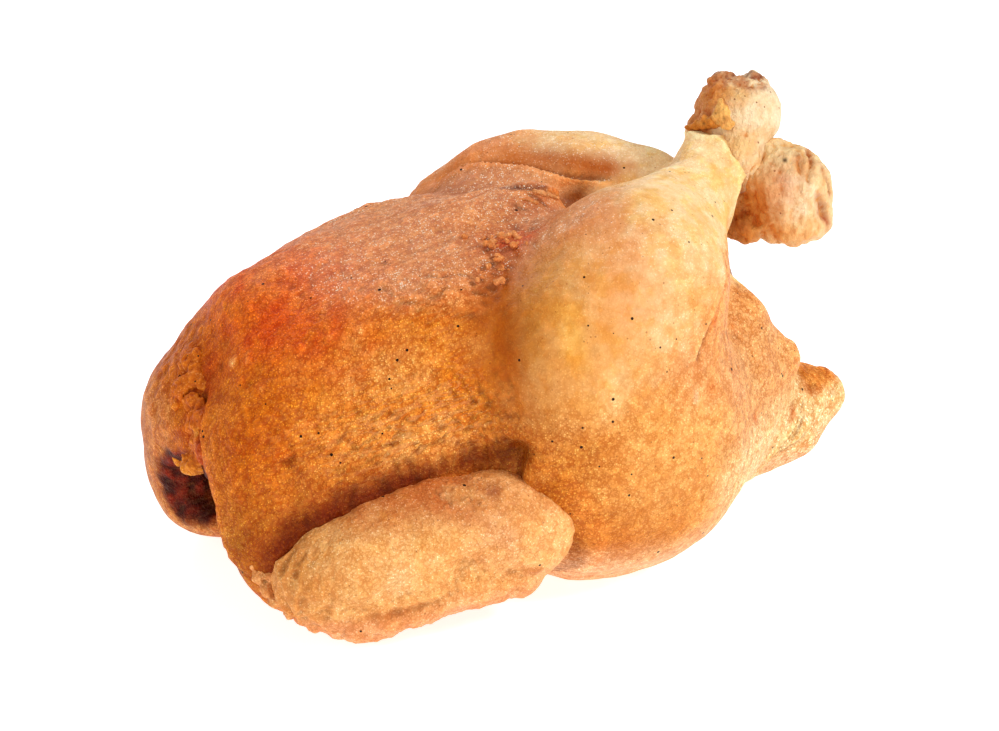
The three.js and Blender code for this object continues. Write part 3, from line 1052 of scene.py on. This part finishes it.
def paint_legs(clay, jag, fine):
    """Pale fat under the drumsticks' skin, tanned thighs, browner where the legs turn under."""
    x, _, z = clay.at.T
    for side in (NEAR, FAR):
        thigh = np.linalg.norm((clay.at - mirrored((16, -44, 46), side)) / (44, 34, 50), axis=1)
        clay.paint(0.95 * ramp(thigh + 0.12 * jag, 1.25, 0.85), THIGH_TAN)
        for dab in THIGH_DABS:
            clay.dab(*dab, side)
    rump = ramp(x + 6 * jag, 32, 54)
    clay.paint(0.9 * rump, RUMP)
    clay.paint(0.85 * rump * ramp(z + 4 * jag, 50, 34), RUMP_PALE)
    for side in (NEAR, FAR):
        clay.paint(0.95 * leg_share(clay, side, 28 + 5 * jag) * ramp(x + 3 * fine, -26, -18), LEG_TAN)
        clay.paint(0.9 * leg_share(clay, side, 26 + 5 * fine) * ramp(x + 5 * jag, 0, 18), LEG_PALE)
        clay.dab(0.45, THIGH_GOLD, (4, -66, 88), (16, 14, 12), 0.4, side)
        clay.paint((0.5 + 0.35 * ramp(z, 74, 94)) * clay.line(LEG_SHADE, 9.5 + 2 * jag, side), "c07a28")
        for dab in LEG_DABS:
            clay.dab(*dab, side)
    # browning and painted shade on the far drumstick's side over the valley
    clay.paint(clay.line(FAR_LEG_FACE, 6.0 + 1.5 * jag) * ramp(x + 4 * fine, 50, 36), LEG_BROWN_AND_SHADE)
    # painted shade in the deep gap at the breast's tip
    clay.dab(0.95, "7a2602", BREAST_TIP_PIT, (6.4, 6, 4), 0.3)


def paint_breast(clay, jag, fine):
    """Rust at the front, browning with a painted sheen on top, gold below, and where skin meets
    skin dark brown deepened by painted shade.
    """
    x, _, z = clay.at.T
    flank = ramp(x + 5 * jag, -8, -26)
    clay.paint(flank * ramp(z + 6 * jag, 74, 54) * 0.7, FLANK)
    top = ramp(z + 4 * jag, 86, 97) * ramp(x + 5 * fine, 26, 6)
    clay.paint(0.9 * top * ramp(leg_share(clay, NEAR, 23), 0.8, 0.2), FROSTED)
    clay.dab(0.8, FRONT_TOP, (-70, -4, 95), (18, 34, 12), 0.4)
    for side in (NEAR, FAR):
        rusty = clay.spot(mirrored((-78, -23, 83), side), (22, 24, 13), 0.6)
        clay.paint((0.92 - 0.5 * ramp(fine, 0.0, 0.6)) * rusty, RUST)
        clay.paint(0.9 * rusty * ramp(-fine, 0.15, 0.55), RUST_DEEP)
        for dab in SHOULDER_DABS:
            clay.dab(*dab, side)
        # browning and painted shade along the valley between breast and thigh
        clay.paint((0.5 + 0.35 * ramp(z, 62, 84)) * clay.line(THIGH_VALLEY, 9 + 3 * jag, side), HOLLOW_BROWN_AND_SHADE)
        # browning and painted shade along the crease above the wing
        for strength, colour, wide, narrow, waver in WING_CREASE_PAINT:
            width = np.interp(x, (-66, -42), (wide, narrow)) + waver * fine
            clay.paint(strength * clay.line(WING_CREASE, width, side), colour)
        for dab in FLANK_DABS:
            clay.dab(*dab, side)
    on_ridge = clay.line(LEG_RIDGE, 5.5 + 1.5 * fine)
    clay.paint(0.7 * on_ridge * ramp(x, 40, 15), "d8925c")
    # painted sheen on the breast's upturned top and along the leg's ridge
    sheen_line = np.interp(x, (-74, -46, -37, -10), (89, 90, 94.5, 96))
    frosted = ramp(clay.out[:, 2], 0.42, 0.9) * ramp(z + 2 * fine, sheen_line - 1, sheen_line + 6)
    frosted = frosted * (0.85 + 0.6 * jag) * (1 - leg_share(clay, NEAR, 26))
    frosted = np.maximum(frosted, 0.75 * on_ridge) * (ramp(x, -84, -54) * ramp(x + 4 * fine, 62, 50))
    frosted = frosted * (1 - 0.8 * clay.line(FAR_LEG_FACE, 6)) * (1 - 0.9 * clay.spot(*TORN_PLACE))
    clay.masks["frosted"] = frosted
    # browning and painted shade in the crease under the breast's tip fold
    clay.paint(0.9 * clay.line(BREAST_TIP_FOLD, 1.2), CREASE_BROWN_AND_SHADE)
    for dab in BREAST_TOP_DABS:
        clay.dab(*dab)
    creased = np.zeros(len(x))
    for side in (NEAR, FAR):
        for strength, centre, radii in CREASED_PLACES:
            creased = np.maximum(creased, strength * clay.spot(mirrored(centre, side), radii, 0.4))
    clay.masks["flaky"] = 0.12 + 0.88 * creased


def paint_ends(clay, fine):
    """Painted shade in the hollow at the neck, the vent, the toasted tail."""
    x, y, z = clay.at.T
    neck = ramp(x + 3 * fine, -90, -101) * ramp(y, -28, -16)
    clay.paint(0.95 * neck, "c8640a")
    clay.paint(0.7 * neck * ramp(fine, 0.1, 0.5), "a84604")
    clay.paint(0.7 * neck * ramp(z + 3 * fine, 30, 16), "dc9450")
    clay.paint(0.55 * neck * ramp(x + 2 * fine, -107, -112) * ramp(y + 2 * fine, -12, -5), "d88c4a")
    clay.dab(0.85, "c24806", (-99, -10, 71), (8, 8, 8), 0.5)
    clay.paint(clay.line(NECK_LINE, 3.4), "9c2800")
    # painted shade inside the neck's hollow, dark red to near black
    inside = ramp(along(clay.at, NECK_HOLLOW)[0], 20 + 2.5 * fine, 16) * ramp(z + 3 * fine, 14, 20)
    clay.paint(inside, "802006")
    clay.paint(0.9 * inside * ramp(fine, -0.5, 0.2), "320a02")
    clay.paint(0.75 * ramp(along(clay.at, VENT)[0], 17, 12) * ramp(x, 64, 74), "a8541c")
    tail_top = ramp(x + 2 * fine, 92, 97) * ramp(z, 33, 37)
    clay.paint(0.9 * tail_top, "e88c30")
    clay.paint(0.8 * tail_top * ramp(fine, 0.05, 0.4), "c46a1c")
    clay.paint(0.85 * tail_top * ramp(np.abs(y - 2) + 3 * fine, 9, 14), "b85e18")
    for i, spot in enumerate(TOASTED_SPOTS):
        clay.dab(0.85, "d8680c", spot, 2.0 + 0.4 * (i % 2), 0.5)
    clay.dab(0.8, "fbe4c4", (30, -68, 65), (0.7, 1.4, 1.8), 0.4)
    clay.paint(0.55 * ramp(clay.bubbled, 0.5, 1.0), "f6bc70")


def paint_skin(clay):
    """Browning by place, then painted shade where the surface sinks, painted highlight where it rises."""
    jag = rough(clay.at, 16, 31)
    fine = rough(clay.at, 5, 32)
    paint_legs(clay, jag, fine)
    paint_breast(clay, jag, fine)
    paint_ends(clay, fine)
    under = ramp(clay.z + 3 * jag, 27, 13) * ramp(clay.x, -30, -6)
    clay.paint(0.8 * under, "f6bc88")
    # painted shade in the broad hollows
    clay.paint(0.8 * ramp(clay.depth(14), 0.10, 1.1), HOLLOW_BROWN_AND_SHADE)
    # painted shade in the small hollows and painted highlight on the crests
    clay.paint_depth_shade_and_highlight(3, (0.04, 0.26), 0.66, (0.03, 0.20), 1.22)
    clay.shade(ramp(fine, 0.1, 0.6), 0.90)
    speckled = rough(clay.at, 3.2, 35)
    clay.shade(ramp(speckled, 0.0, 0.6), SPECKLE_DARK)
    clay.shade(ramp(-speckled, 0.1, 0.6), SPECKLE_LIGHT)
    legs = np.maximum(leg_share(clay, NEAR, 27), leg_share(clay, FAR, 27))
    thighs = ramp(clay.x + 5 * jag, -12, 12) * ramp(clay.x + 5 * jag, 52, 36)
    clay.masks["grainy"] = 0.9 - 0.66 * legs - (0.25 - 0.15 * legs) * thighs
    clay.masks["grainy"] += 0.25 * legs * clay.masks["frosted"]
    clay.masks["golden"] = 0.2 + 0.8 * legs
    clay.masks["flaky"] *= 1 - 0.85 * legs
    for side in (NEAR, FAR):
        clay.masks["flaky"] *= 1 - 0.9 * clay.line(WING_CREASE, 7, side)


def build_skin():
    bird = copy_of_bird()
    split_at_skin_edge(bird)
    clay = Clay(bird, SIDE_GOLD)
    shape_form(clay)
    tuck_under_wings(clay)
    tuck_under_leg_ends(clay)
    shape_neck(clay)
    shape_breast(clay)
    shape_rump(clay)
    shape_grain(clay)
    rest_on_ground(clay)
    paint_skin(clay)
    clay.keep()
    finished(bird, ROAST_SKIN)


def build_wing(side):
    """A folded wing: forearm and elbow in one bean, with a skin ledge along its lower side."""
    name = "near_wing" if side == NEAR else "far_wing"
    parts = chain(WING_BONE, WING_GIRTH, 14, side) + chain(WING_SKIN, WING_SKIN_GIRTH, 10, side)
    wing = melted(name, parts, WING_CELL, smoothing=14)
    clay = Clay(wing, WING_TAN)
    seed = 40 + 10 * side
    ledge = mirrored([(-78, -65, 11), (-66, -70, 13), (-56, -73.5, 14), (-47, -75.5, 17), (-41, -76.5, 24),
                      (-36, -76, 21), (-20, -73, 20)], side)  # fmt: skip
    clay.groove(ledge, width=2.4, depth=2.0)
    clay.push(-2.6 * clay.spot(mirrored((-42, -76, 25), side), (5, 6, 5)))
    clay.groove(mirrored([(-57, -76, 24), (-56, -76, 18)], side), width=1.2, depth=1.0)
    clay.push(1.3 * clay.spot(mirrored((-63, -74, 26), side), (9, 8, 6)))
    clay.push(0.9 * waves(clay.at, 16, seed) + 0.6 * waves(clay.at, 7, seed + 1))
    wrist = clay.spot(mirrored((-88, -60, 19), side), (11, 12, 15))
    clay.crinkle(wrist, (0.15, 0, 1), length=18, width=3.4, height=1.1, seed=seed)
    x, _, z = clay.at.T
    fine = rough(clay.at, 5, seed + 2)
    jag = rough(clay.at, 14, seed + 3)
    crumbs = ramp(blisters(clay.at, 1.9, seed), 0.35, 0.9)
    along_top = ramp(z, 37, 43) * ramp(clay.out[:, 2], 0.2, 0.7)
    clay.push((0.14 + 0.75 * along_top * ramp(jag, -0.3, 0.3)) * crumbs)
    clay.push(0.16 * waves(clay.at, 2.0, seed + 5) + 0.10 * waves(clay.at, 1.3, seed + 7))
    hem = ramp(z, 12, 6)
    clay.push(hem * 0.9 * rough(clay.at, 4, seed + 6))
    rest_on_ground(clay)
    clay.paint(0.85 * ramp(z + 3 * jag, 35, 43) * (1 - 0.7 * ramp(x + 4 * jag, -42, -26)), WING_EDGE)
    clay.paint(0.35 * ramp(jag, 0.1, 0.6), "f8c884")
    clay.paint(0.4 * ramp(fine, 0.15, 0.6), "e49440")
    clay.paint(0.4 * ramp(rough(clay.at, 2.6, seed + 8), 0.1, 0.6), "e09a58")
    low = ramp(z + 1.5 * fine, np.interp(x, (-80, -56, -40, -20), (14, 15, 22, 20)), 10)
    clay.paint(0.7 * low, "ee9c66")
    clay.paint(0.5 * low * ramp(fine, 0, 0.5), "f8b888")
    for dab in WING_DABS:
        clay.dab(*dab, side)
    clay.paint(0.75 * clay.line(ledge, 2.0), "c46a28")
    # painted shade in the wing's hollows and painted highlight on its crests
    clay.paint_depth_shade_and_highlight(4, (0.03, 0.18), 0.78, (0.03, 0.2), 1.12)
    clay.plain_masks(grainy=0.8, flaky=0.12, frosted=0.14, golden=0.4)
    clay.keep()
    finished(wing, WING_SKIN_FINISH)


def build_near_leg_end():
    """The upright leg end: a neck that flares into two rounded heads, torn and seared on one side."""
    parts = [
        ((65, -1.8, 105.7), 8), ((68.5, -3, 110), 8.4), ((70.5, -4.5, 114), 8.2), ((72, -2, 117), 8.4),
        ((73, 1, 120), (10.5, 9.5, 8), TURNED), ((74.5, 3.5, 125.6), (13.6, 11.8, 12.2), TURNED),
        ((71, 6, 131.5), (6.6, 6.4, 6)), ((78.5, 4.5, 131.8), (6, 6.4, 5.8)),
        ((65.2, 6, 126), (4.0, 5, 4.2)), ((62.6, 5, 122.5), (4.2, 5, 3.6)),
        ((69.6, 7, 137.0), (2.6, 2.4, 1.6)), ((67.4, 7.5, 135.4), (2.2, 2.4, 1.8)),
        ((72.4, 7, 137.2), (1.6, 2, 1.3)), ((79.8, 4.5, 137.0), (2.6, 2.4, 1.5)),
        ((82.5, 4.5, 134.6), (2.0, 3, 2.4)),
    ]  # fmt: skip
    pits = (((76.0, 5.0, 137), 1.4), ((81.6, 3.4, 137.4), 1.2), ((73.6, 5.0, 137), 0.9))
    piece = melted("near_leg_end", parts, LEG_END_CELL, smoothing=8)
    clay = Clay(piece, BONE_PALE)
    clay.groove([(74, -4, 136), (75.5, 4, 137), (76, 13, 133)], width=1.4, depth=0.5)
    for pit, radius in pits:
        clay.push(-1.4 * clay.spot(pit, radius))
    seared_side = ramp((clay.at - (65.5, 0, 124)) @ np.array((-0.94, 0.34, 0.12)), -1.0, 3.4)
    seared_side *= ramp(clay.z, 115, 120)
    clay.push(seared_side * (1.2 * rough(clay.at, 4.5, 51) + 1.2 * pebbles(clay.at, 3.4, 5)))
    lower = ramp(clay.z, 124, 112)
    clay.crinkle(lower, (0.55, 0.4, 0.7), length=14, width=2.8, height=0.45, seed=52)
    for path in ([(66, -4, 119.5), (69, -7, 121.5), (73, -8.4, 122.5)],
                 [(69, -4, 115), (72, -7.6, 118.5), (76, -7.6, 119.5)],
                 [(66, 3, 133.4), (71, -1, 134.6), (78, -2.5, 134.6)]):  # fmt: skip
        clay.groove(path, width=0.9, depth=0.7)
    clay.push(0.4 * rough(clay.at, 5, 53) + 0.16 * waves(clay.at, 1.7, 54))
    crown = ramp(clay.z, 133.5, 136)
    clay.push(crown * 0.9 * rough(clay.at, 2.4, 55))
    fine = rough(clay.at, 4, 56)
    clay.dab(0.7, "e8a844", (67.6, 0.4, 133), (5, 6, 3.4), 0.6)
    clay.dab(0.6, "eeb860", (71, -3, 133.5), (4, 5, 3), 0.6)
    clay.dab(0.75, "f0bc6e", (70, -4, 114), (10, 10, 8), 0.6)
    clay.paint(0.9 * ramp(seared_side + 0.3 * fine, 0.1, 0.9), "e29c58")
    clay.paint(0.85 * ramp(seared_side + 0.45 * fine, 0.7, 1.3), "b4662c")
    clay.paint(0.85 * crown * ramp(fine, -0.4, 0.2), "c27e4c")
    clay.paint(0.8 * crown * ramp(rough(clay.at, 2.4, 57), 0.1, 0.4), "8e4426")
    for pit, radius in pits:
        clay.dab(1, "6c2418", pit, radius * 1.15)
    (side_at, side_facing), (top_at, top_facing) = SKIN_EDGES
    past_side, past_top = (clay.at - side_at) @ side_facing, (clay.at - top_at) @ top_facing
    for past, other in ((past_side, past_top), (past_top, past_side)):
        clay.paint(0.8 * bell(past - 0.4, 1.1) * ramp(other, 1.5, 0.5), "b0682c")
    clay.dab(0.8, "e08c34", (65, 0, 133.6), (5, 6, 4), 0.5)
    clay.dab(0.6, "eeb868", (70, -10, 120), (6, 6, 5), 0.5)
    # warm painted shade in the hollows and painted highlight on the crests
    clay.paint_depth_shade_and_highlight(4, (0.03, 0.2), WARM_SHADE, (0.03, 0.2), 1.08)
    clay.keep()
    finished(piece, LEG_END)


def build_far_leg_end():
    """The lower leg end, pointing back: brown and smooth on one face, scored and pale at its tip."""
    parts = [
        ((68, 4, 96), 10), ((75, -1, 98), 11.5), ((85, -9, 102), (15, 12.5, 15.6), TURNED),
        ((83, -5, 112), (7, 7, 7)), ((73, -8, 93.5), (6.5, 7, 6)), ((92, -13, 95), (7, 7, 7)),
        ((93.4, -12.5, 102), (5, 6, 6.2)), ((88.2, -10.6, 107.8), (6, 7, 6)), ((78, -13, 104), (6, 7, 8)),
        ((86, -16, 94), (8, 6, 6)),
    ]  # fmt: skip
    cuts = (
        [(91.9, -9.3, 115), (90.6, -15.6, 114), (88.4, -19.8, 111.8), (87, -22, 108)],
        [(86.5, -15, 115.6), (85.7, -19, 113), (84.1, -21.8, 110)],
        [(94, -16.6, 111), (95.8, -17.6, 108), (96.4, -18.4, 104)],
        [(91, -21.5, 104.5), (93, -20.5, 99.8), (95.5, -17, 93.5)],
    )
    piece = melted("far_leg_end", parts, LEG_END_CELL, smoothing=10)
    clay = Clay(piece, "f7dca8")
    fine = rough(clay.at, 4, 65)
    for i, path in enumerate(cuts):
        clay.groove(path, width=1.2 + 0.2 * (i == 3), depth=1.8)
        clay.paint(0.9 * clay.line(path, 1.5), "b0502c" if i == 3 else "bc7038")
    brown_face = clay.spot((72, -14.5, 99), (8, 9, 9.5)) * ramp(clay.z, 114, 108)
    clay.push(-2.2 * brown_face)
    ridge = [(71.7, -8, 109), (73.4, -15, 109.4), (76, -19, 107), (78.5, -21, 102), (79, -20.5, 95)]
    clay.groove(ridge, width=2.2, depth=-1.3)
    everywhere = np.ones(len(clay.at))
    clay.crinkle(everywhere, (0.15, 0.1, 1), length=16, width=3.8, height=0.55, seed=61)
    clay.push(0.8 * rough(clay.at, 7, 62) + 0.2 * waves(clay.at, 2.2, 63))
    low = ramp((clay.at - (80, -15, 98)) @ np.array((-0.75, 0, -0.66)), -5, 6)
    clay.push(low * 0.9 * rough(clay.at, 4, 64))
    clay.dab(0.7, "e0a080", (80, -20, 109), (4, 6, 7), 0.6)
    low = low * ramp(clay.x + 3 * fine, 80, 70)
    clay.paint(0.8 * ramp(low + 0.5 * fine, 0.1, 0.8), "e09a50")
    clay.paint(0.85 * ramp(brown_face + 0.45 * fine, 0.2, 0.8), "dc9444")
    clay.dab(0.8, "782c0c", (69, -9, 94), (4, 6, 6), 0.5)
    clay.dab(1, "94300c", (93, -20.8, 99.8), 2.2, 0.3)
    clay.paint(0.5 * ramp(fine, 0.1, 0.5) * ramp(clay.x, 78, 86), "e6ac60")
    for dab in LOWER_LEG_END_DABS:
        clay.dab(*dab, 0.5)
    clay.dab(1, PEPPER, (81.9, -15.2, 115.3), 0.8)
    # warm painted shade in the hollows and painted highlight on the crests
    clay.paint_depth_shade_and_highlight(4, (0.03, 0.22), WARM_SHADE, (0.03, 0.2), 1.1)
    clay.keep()
    finished(piece, LEG_END)


def crumb(middle, reach):
    """A tiny lump at a drawn place round a middle."""
    centre = np.array(middle) + DRAW.normal(size=3) * np.array(reach) * 0.6
    return centre, 0.5 + 0.6 * DRAW.random()


def build_scraps():
    """Torn skin: a pointed flap and a rag on the leg end, crumbs on the breast, a rag at the wrist."""
    flap = [
        ((64.9, -4.7, 127), (3.3, 1.2, 2.2), TURNED), ((65.3, -4.1, 128.8), (2.7, 1.1, 2.4), TURNED),
        ((65.5, -3.3, 130.3), (1.9, 1.0, 2.2), TURNED), ((65.5, -2.6, 131.8), (0.9, 0.8, 1.4), TURNED),
        ((66.4, -6.0, 125.6), (2.6, 1.1, 1.8), TURNED),
    ]  # fmt: skip
    rag = [
        ((63.4, -3.0, 125.8), (3.0, 1.8, 1.9), TURNED), ((61.8, -0.5, 124.6), (3, 2.2, 1.5), TURNED),
        ((60.0, 2.6, 123.2), (2.2, 2, 1.2), TURNED), ((58.6, 5.0, 122.5), (1.6, 1.3, 0.9), TURNED),
        ((61.4, -1.2, 126.4), (1.3, 1.3, 1.3), TURNED), ((59.6, 1.6, 124.8), (1.1, 1.1, 1.0), TURNED),
    ]  # fmt: skip
    breast = [crumb((-12, -28, 104.6), (7.5, 4.6, 0.6)) for _ in range(34)]
    for spot in ((-20.6, -43, 98.7), (-18.8, -39.6, 100.6), (-17.8, -35.6, 102.6), (-26.4, -39.6, 98.4)):
        breast += [crumb(spot, (1.8, 1.8, 0.4)) for _ in range(5)]
    tip = chain([(3, -7.6, 111.8), (6, -10.6, 111.4), (8, -14, 111)], (1.0, 0.9, 0.6), 7)
    tip += chain([(-2, -12, 111.2), (1, -15, 110.8)], (0.8, 0.9), 4)
    wrist = [
        ((-97.6, -48.6, 24.4), (1.6, 2, 2.6)), ((-96.2, -50.2, 21), (2.0, 2, 2.4)),
        ((-94.4, -52.4, 17.4), (2.4, 2.2, 2.4)), ((-92, -54.6, 14.6), (2.8, 2.2, 2.2)),
        ((-89, -57, 12.2), (2.6, 2.4, 2.4)), ((-85.4, -59.4, 10.4), (2.6, 2.4, 1.8)),
        ((-93.4, -51.4, 21.4), (1.6, 2.2, 1.8)), ((-90, -54.6, 17.4), (1.8, 2, 2.2)),
    ]  # fmt: skip
    scraps = (
        ("leg_end_flap", flap, "f2bc6a", LEG_END),
        ("leg_end_rag", rag, "dc923e", LEG_END),
        ("breast_scraps", breast, "dc8c50", ROAST_SKIN),
        ("breast_tip_scraps", tip, "d88c52", ROAST_SKIN),
        ("wrist_rag", wrist, "e49c5c", ROAST_SKIN),
    )
    for seed, (name, parts, colour, material) in enumerate(scraps):
        piece = melted(name, parts, SCRAP_CELL, smoothing=2)
        clay = Clay(piece, colour)
        clay.push(0.7 * rough(clay.at, 3, 70 + seed) + 0.25 * waves(clay.at, 1.3, 80 + seed))
        clay.paint(0.4 * ramp(rough(clay.at, 3, 90 + seed), 0, 0.5), "b46824")
        # painted shade in the scrap's hollows and painted highlight on its crests
        clay.paint_depth_shade_and_highlight(3, (0.02, 0.2), 0.6, (0.02, 0.2), 1.2)
        clay.plain_masks(grainy=0.6, flaky=0.3, frosted=0.0, golden=0.3)
        rest_on_ground(clay)
        clay.keep()
        finished(piece, material)


def build_neck_fold():
    """The pebbled sheet of neck skin that hangs over the hollow, with a scalloped lower edge."""
    parts = []
    for left, right, count in NECK_SHEET:
        for share in np.linspace(0, 1, count):
            centre = np.array(left) * (1 - share) + np.array(right) * share
            sway = DRAW.normal(size=3) * (0.7, 1.0, 1.2)
            size = 1.7 + 2.3 * DRAW.random()
            radii = (size, size * (0.7 + 0.4 * DRAW.random()), size * (0.9 + 0.8 * DRAW.random()))
            parts.append((centre + sway + (3.0, 1.2, 0), radii, tuple(DRAW.normal(size=3) * 22)))
    piece = melted("neck_fold", parts, SCRAP_CELL, smoothing=4)
    clay = Clay(piece, "d0680e")
    clay.push(0.9 * rough(clay.at, 5, 101) + 0.6 * rough(clay.at, 2.4, 102))
    clay.push(0.5 * (blisters(clay.at, 2.4, 105) - 0.35) + 0.2 * waves(clay.at, 1.4, 103))
    fine = rough(clay.at, 5, 104)
    clay.paint(0.7 * ramp(fine, 0.1, 0.55), "e4902a")
    clay.paint(0.7 * ramp(-fine, 0.1, 0.5), "b84a06")
    clay.paint(0.7 * ramp(clay.z + 3 * fine, 56, 66), "c4600c")
    inner = ramp(clay.y + 1.5 * fine, -18, -23) * ramp(clay.z, 64, 58)
    clay.paint(0.75 * inner, "b03602")
    clay.paint(0.6 * ramp(clay.z + 3 * fine, 48, 40), "dc8a24")
    # dark red-brown in the crevices deepened as painted shade, and painted highlight on the crests
    close = clay.depth(5)
    clay.paint(0.9 * ramp(close, 0.03, 0.26), "8e2c02")
    clay.shade(ramp(-close, 0.03, 0.22), NECK_CREST_HIGHLIGHT)
    clay.plain_masks(grainy=0.6, flaky=0.1, frosted=0.05, golden=0.3)
    clay.keep()
    finished(piece, ROAST_SKIN)


# ---- Stage, light and camera --------------------------------------------------------------------

CAMERA = {"azimuth": -20, "elevation": 22, "distance": 0.8, "aim": (-0.0051, 0, 0.0541), "lens": 93.7}
LIGHTS = (  # place in metres, size in metres, watts
    ((0.85, -0.85, 1.05), 0.40, 15.0),
    ((-0.2, 1.0, 1.0), 0.45, 6.5),
    ((-1.0, -0.7, 0.7), 0.5, 3.6),
)
ROOM_LIGHT = 0.42  # how strongly the white room lights the bird
ROOM_WHITE = 1.04  # how bright the room itself looks


def build_stage():
    deselect_all()
    bpy.ops.mesh.primitive_plane_add(size=8)
    floor = bpy.context.object
    floor.name = "floor"
    floor.data.materials.append(make_floor_white())
    world = bpy.data.worlds.new("white_room")
    world.use_nodes = True
    background = world.node_tree.nodes["Background"]
    background.inputs["Color"].default_value = (1, 1, 1, 1)
    seen = add(world.node_tree, "ShaderNodeLightPath").outputs["Is Camera Ray"]
    strength = maths(world.node_tree, "MULTIPLY_ADD", seen, ROOM_WHITE - ROOM_LIGHT, ROOM_LIGHT)
    world.node_tree.links.new(strength, background.inputs["Strength"])
    bpy.context.scene.world = world
    for at, size, watts in LIGHTS:
        bpy.ops.object.light_add(type="AREA", location=at)
        light = bpy.context.object
        light.data.size = size
        light.data.energy = watts
        light.rotation_euler = Vector(at).to_track_quat("Z", "Y").to_euler()
    bpy.context.scene.view_settings.view_transform = "Standard"


def build_camera():
    azimuth, elevation = (math.radians(CAMERA[k]) for k in ("azimuth", "elevation"))
    back = Vector((math.sin(azimuth) * math.cos(elevation),
                   -math.cos(azimuth) * math.cos(elevation), math.sin(elevation)))  # fmt: skip
    bpy.ops.object.camera_add(location=Vector(CAMERA["aim"]) + back * CAMERA["distance"])
    camera = bpy.context.object
    camera.rotation_euler = back.to_track_quat("Z", "Y").to_euler()
    camera.data.sensor_width = 36
    camera.data.lens = CAMERA["lens"]
    bpy.context.scene.camera = camera


build_camera()
build_stage()
build_skin()
build_wing(NEAR)
build_wing(FAR)
build_near_leg_end()
build_far_leg_end()
build_neck_fold()
build_scraps()
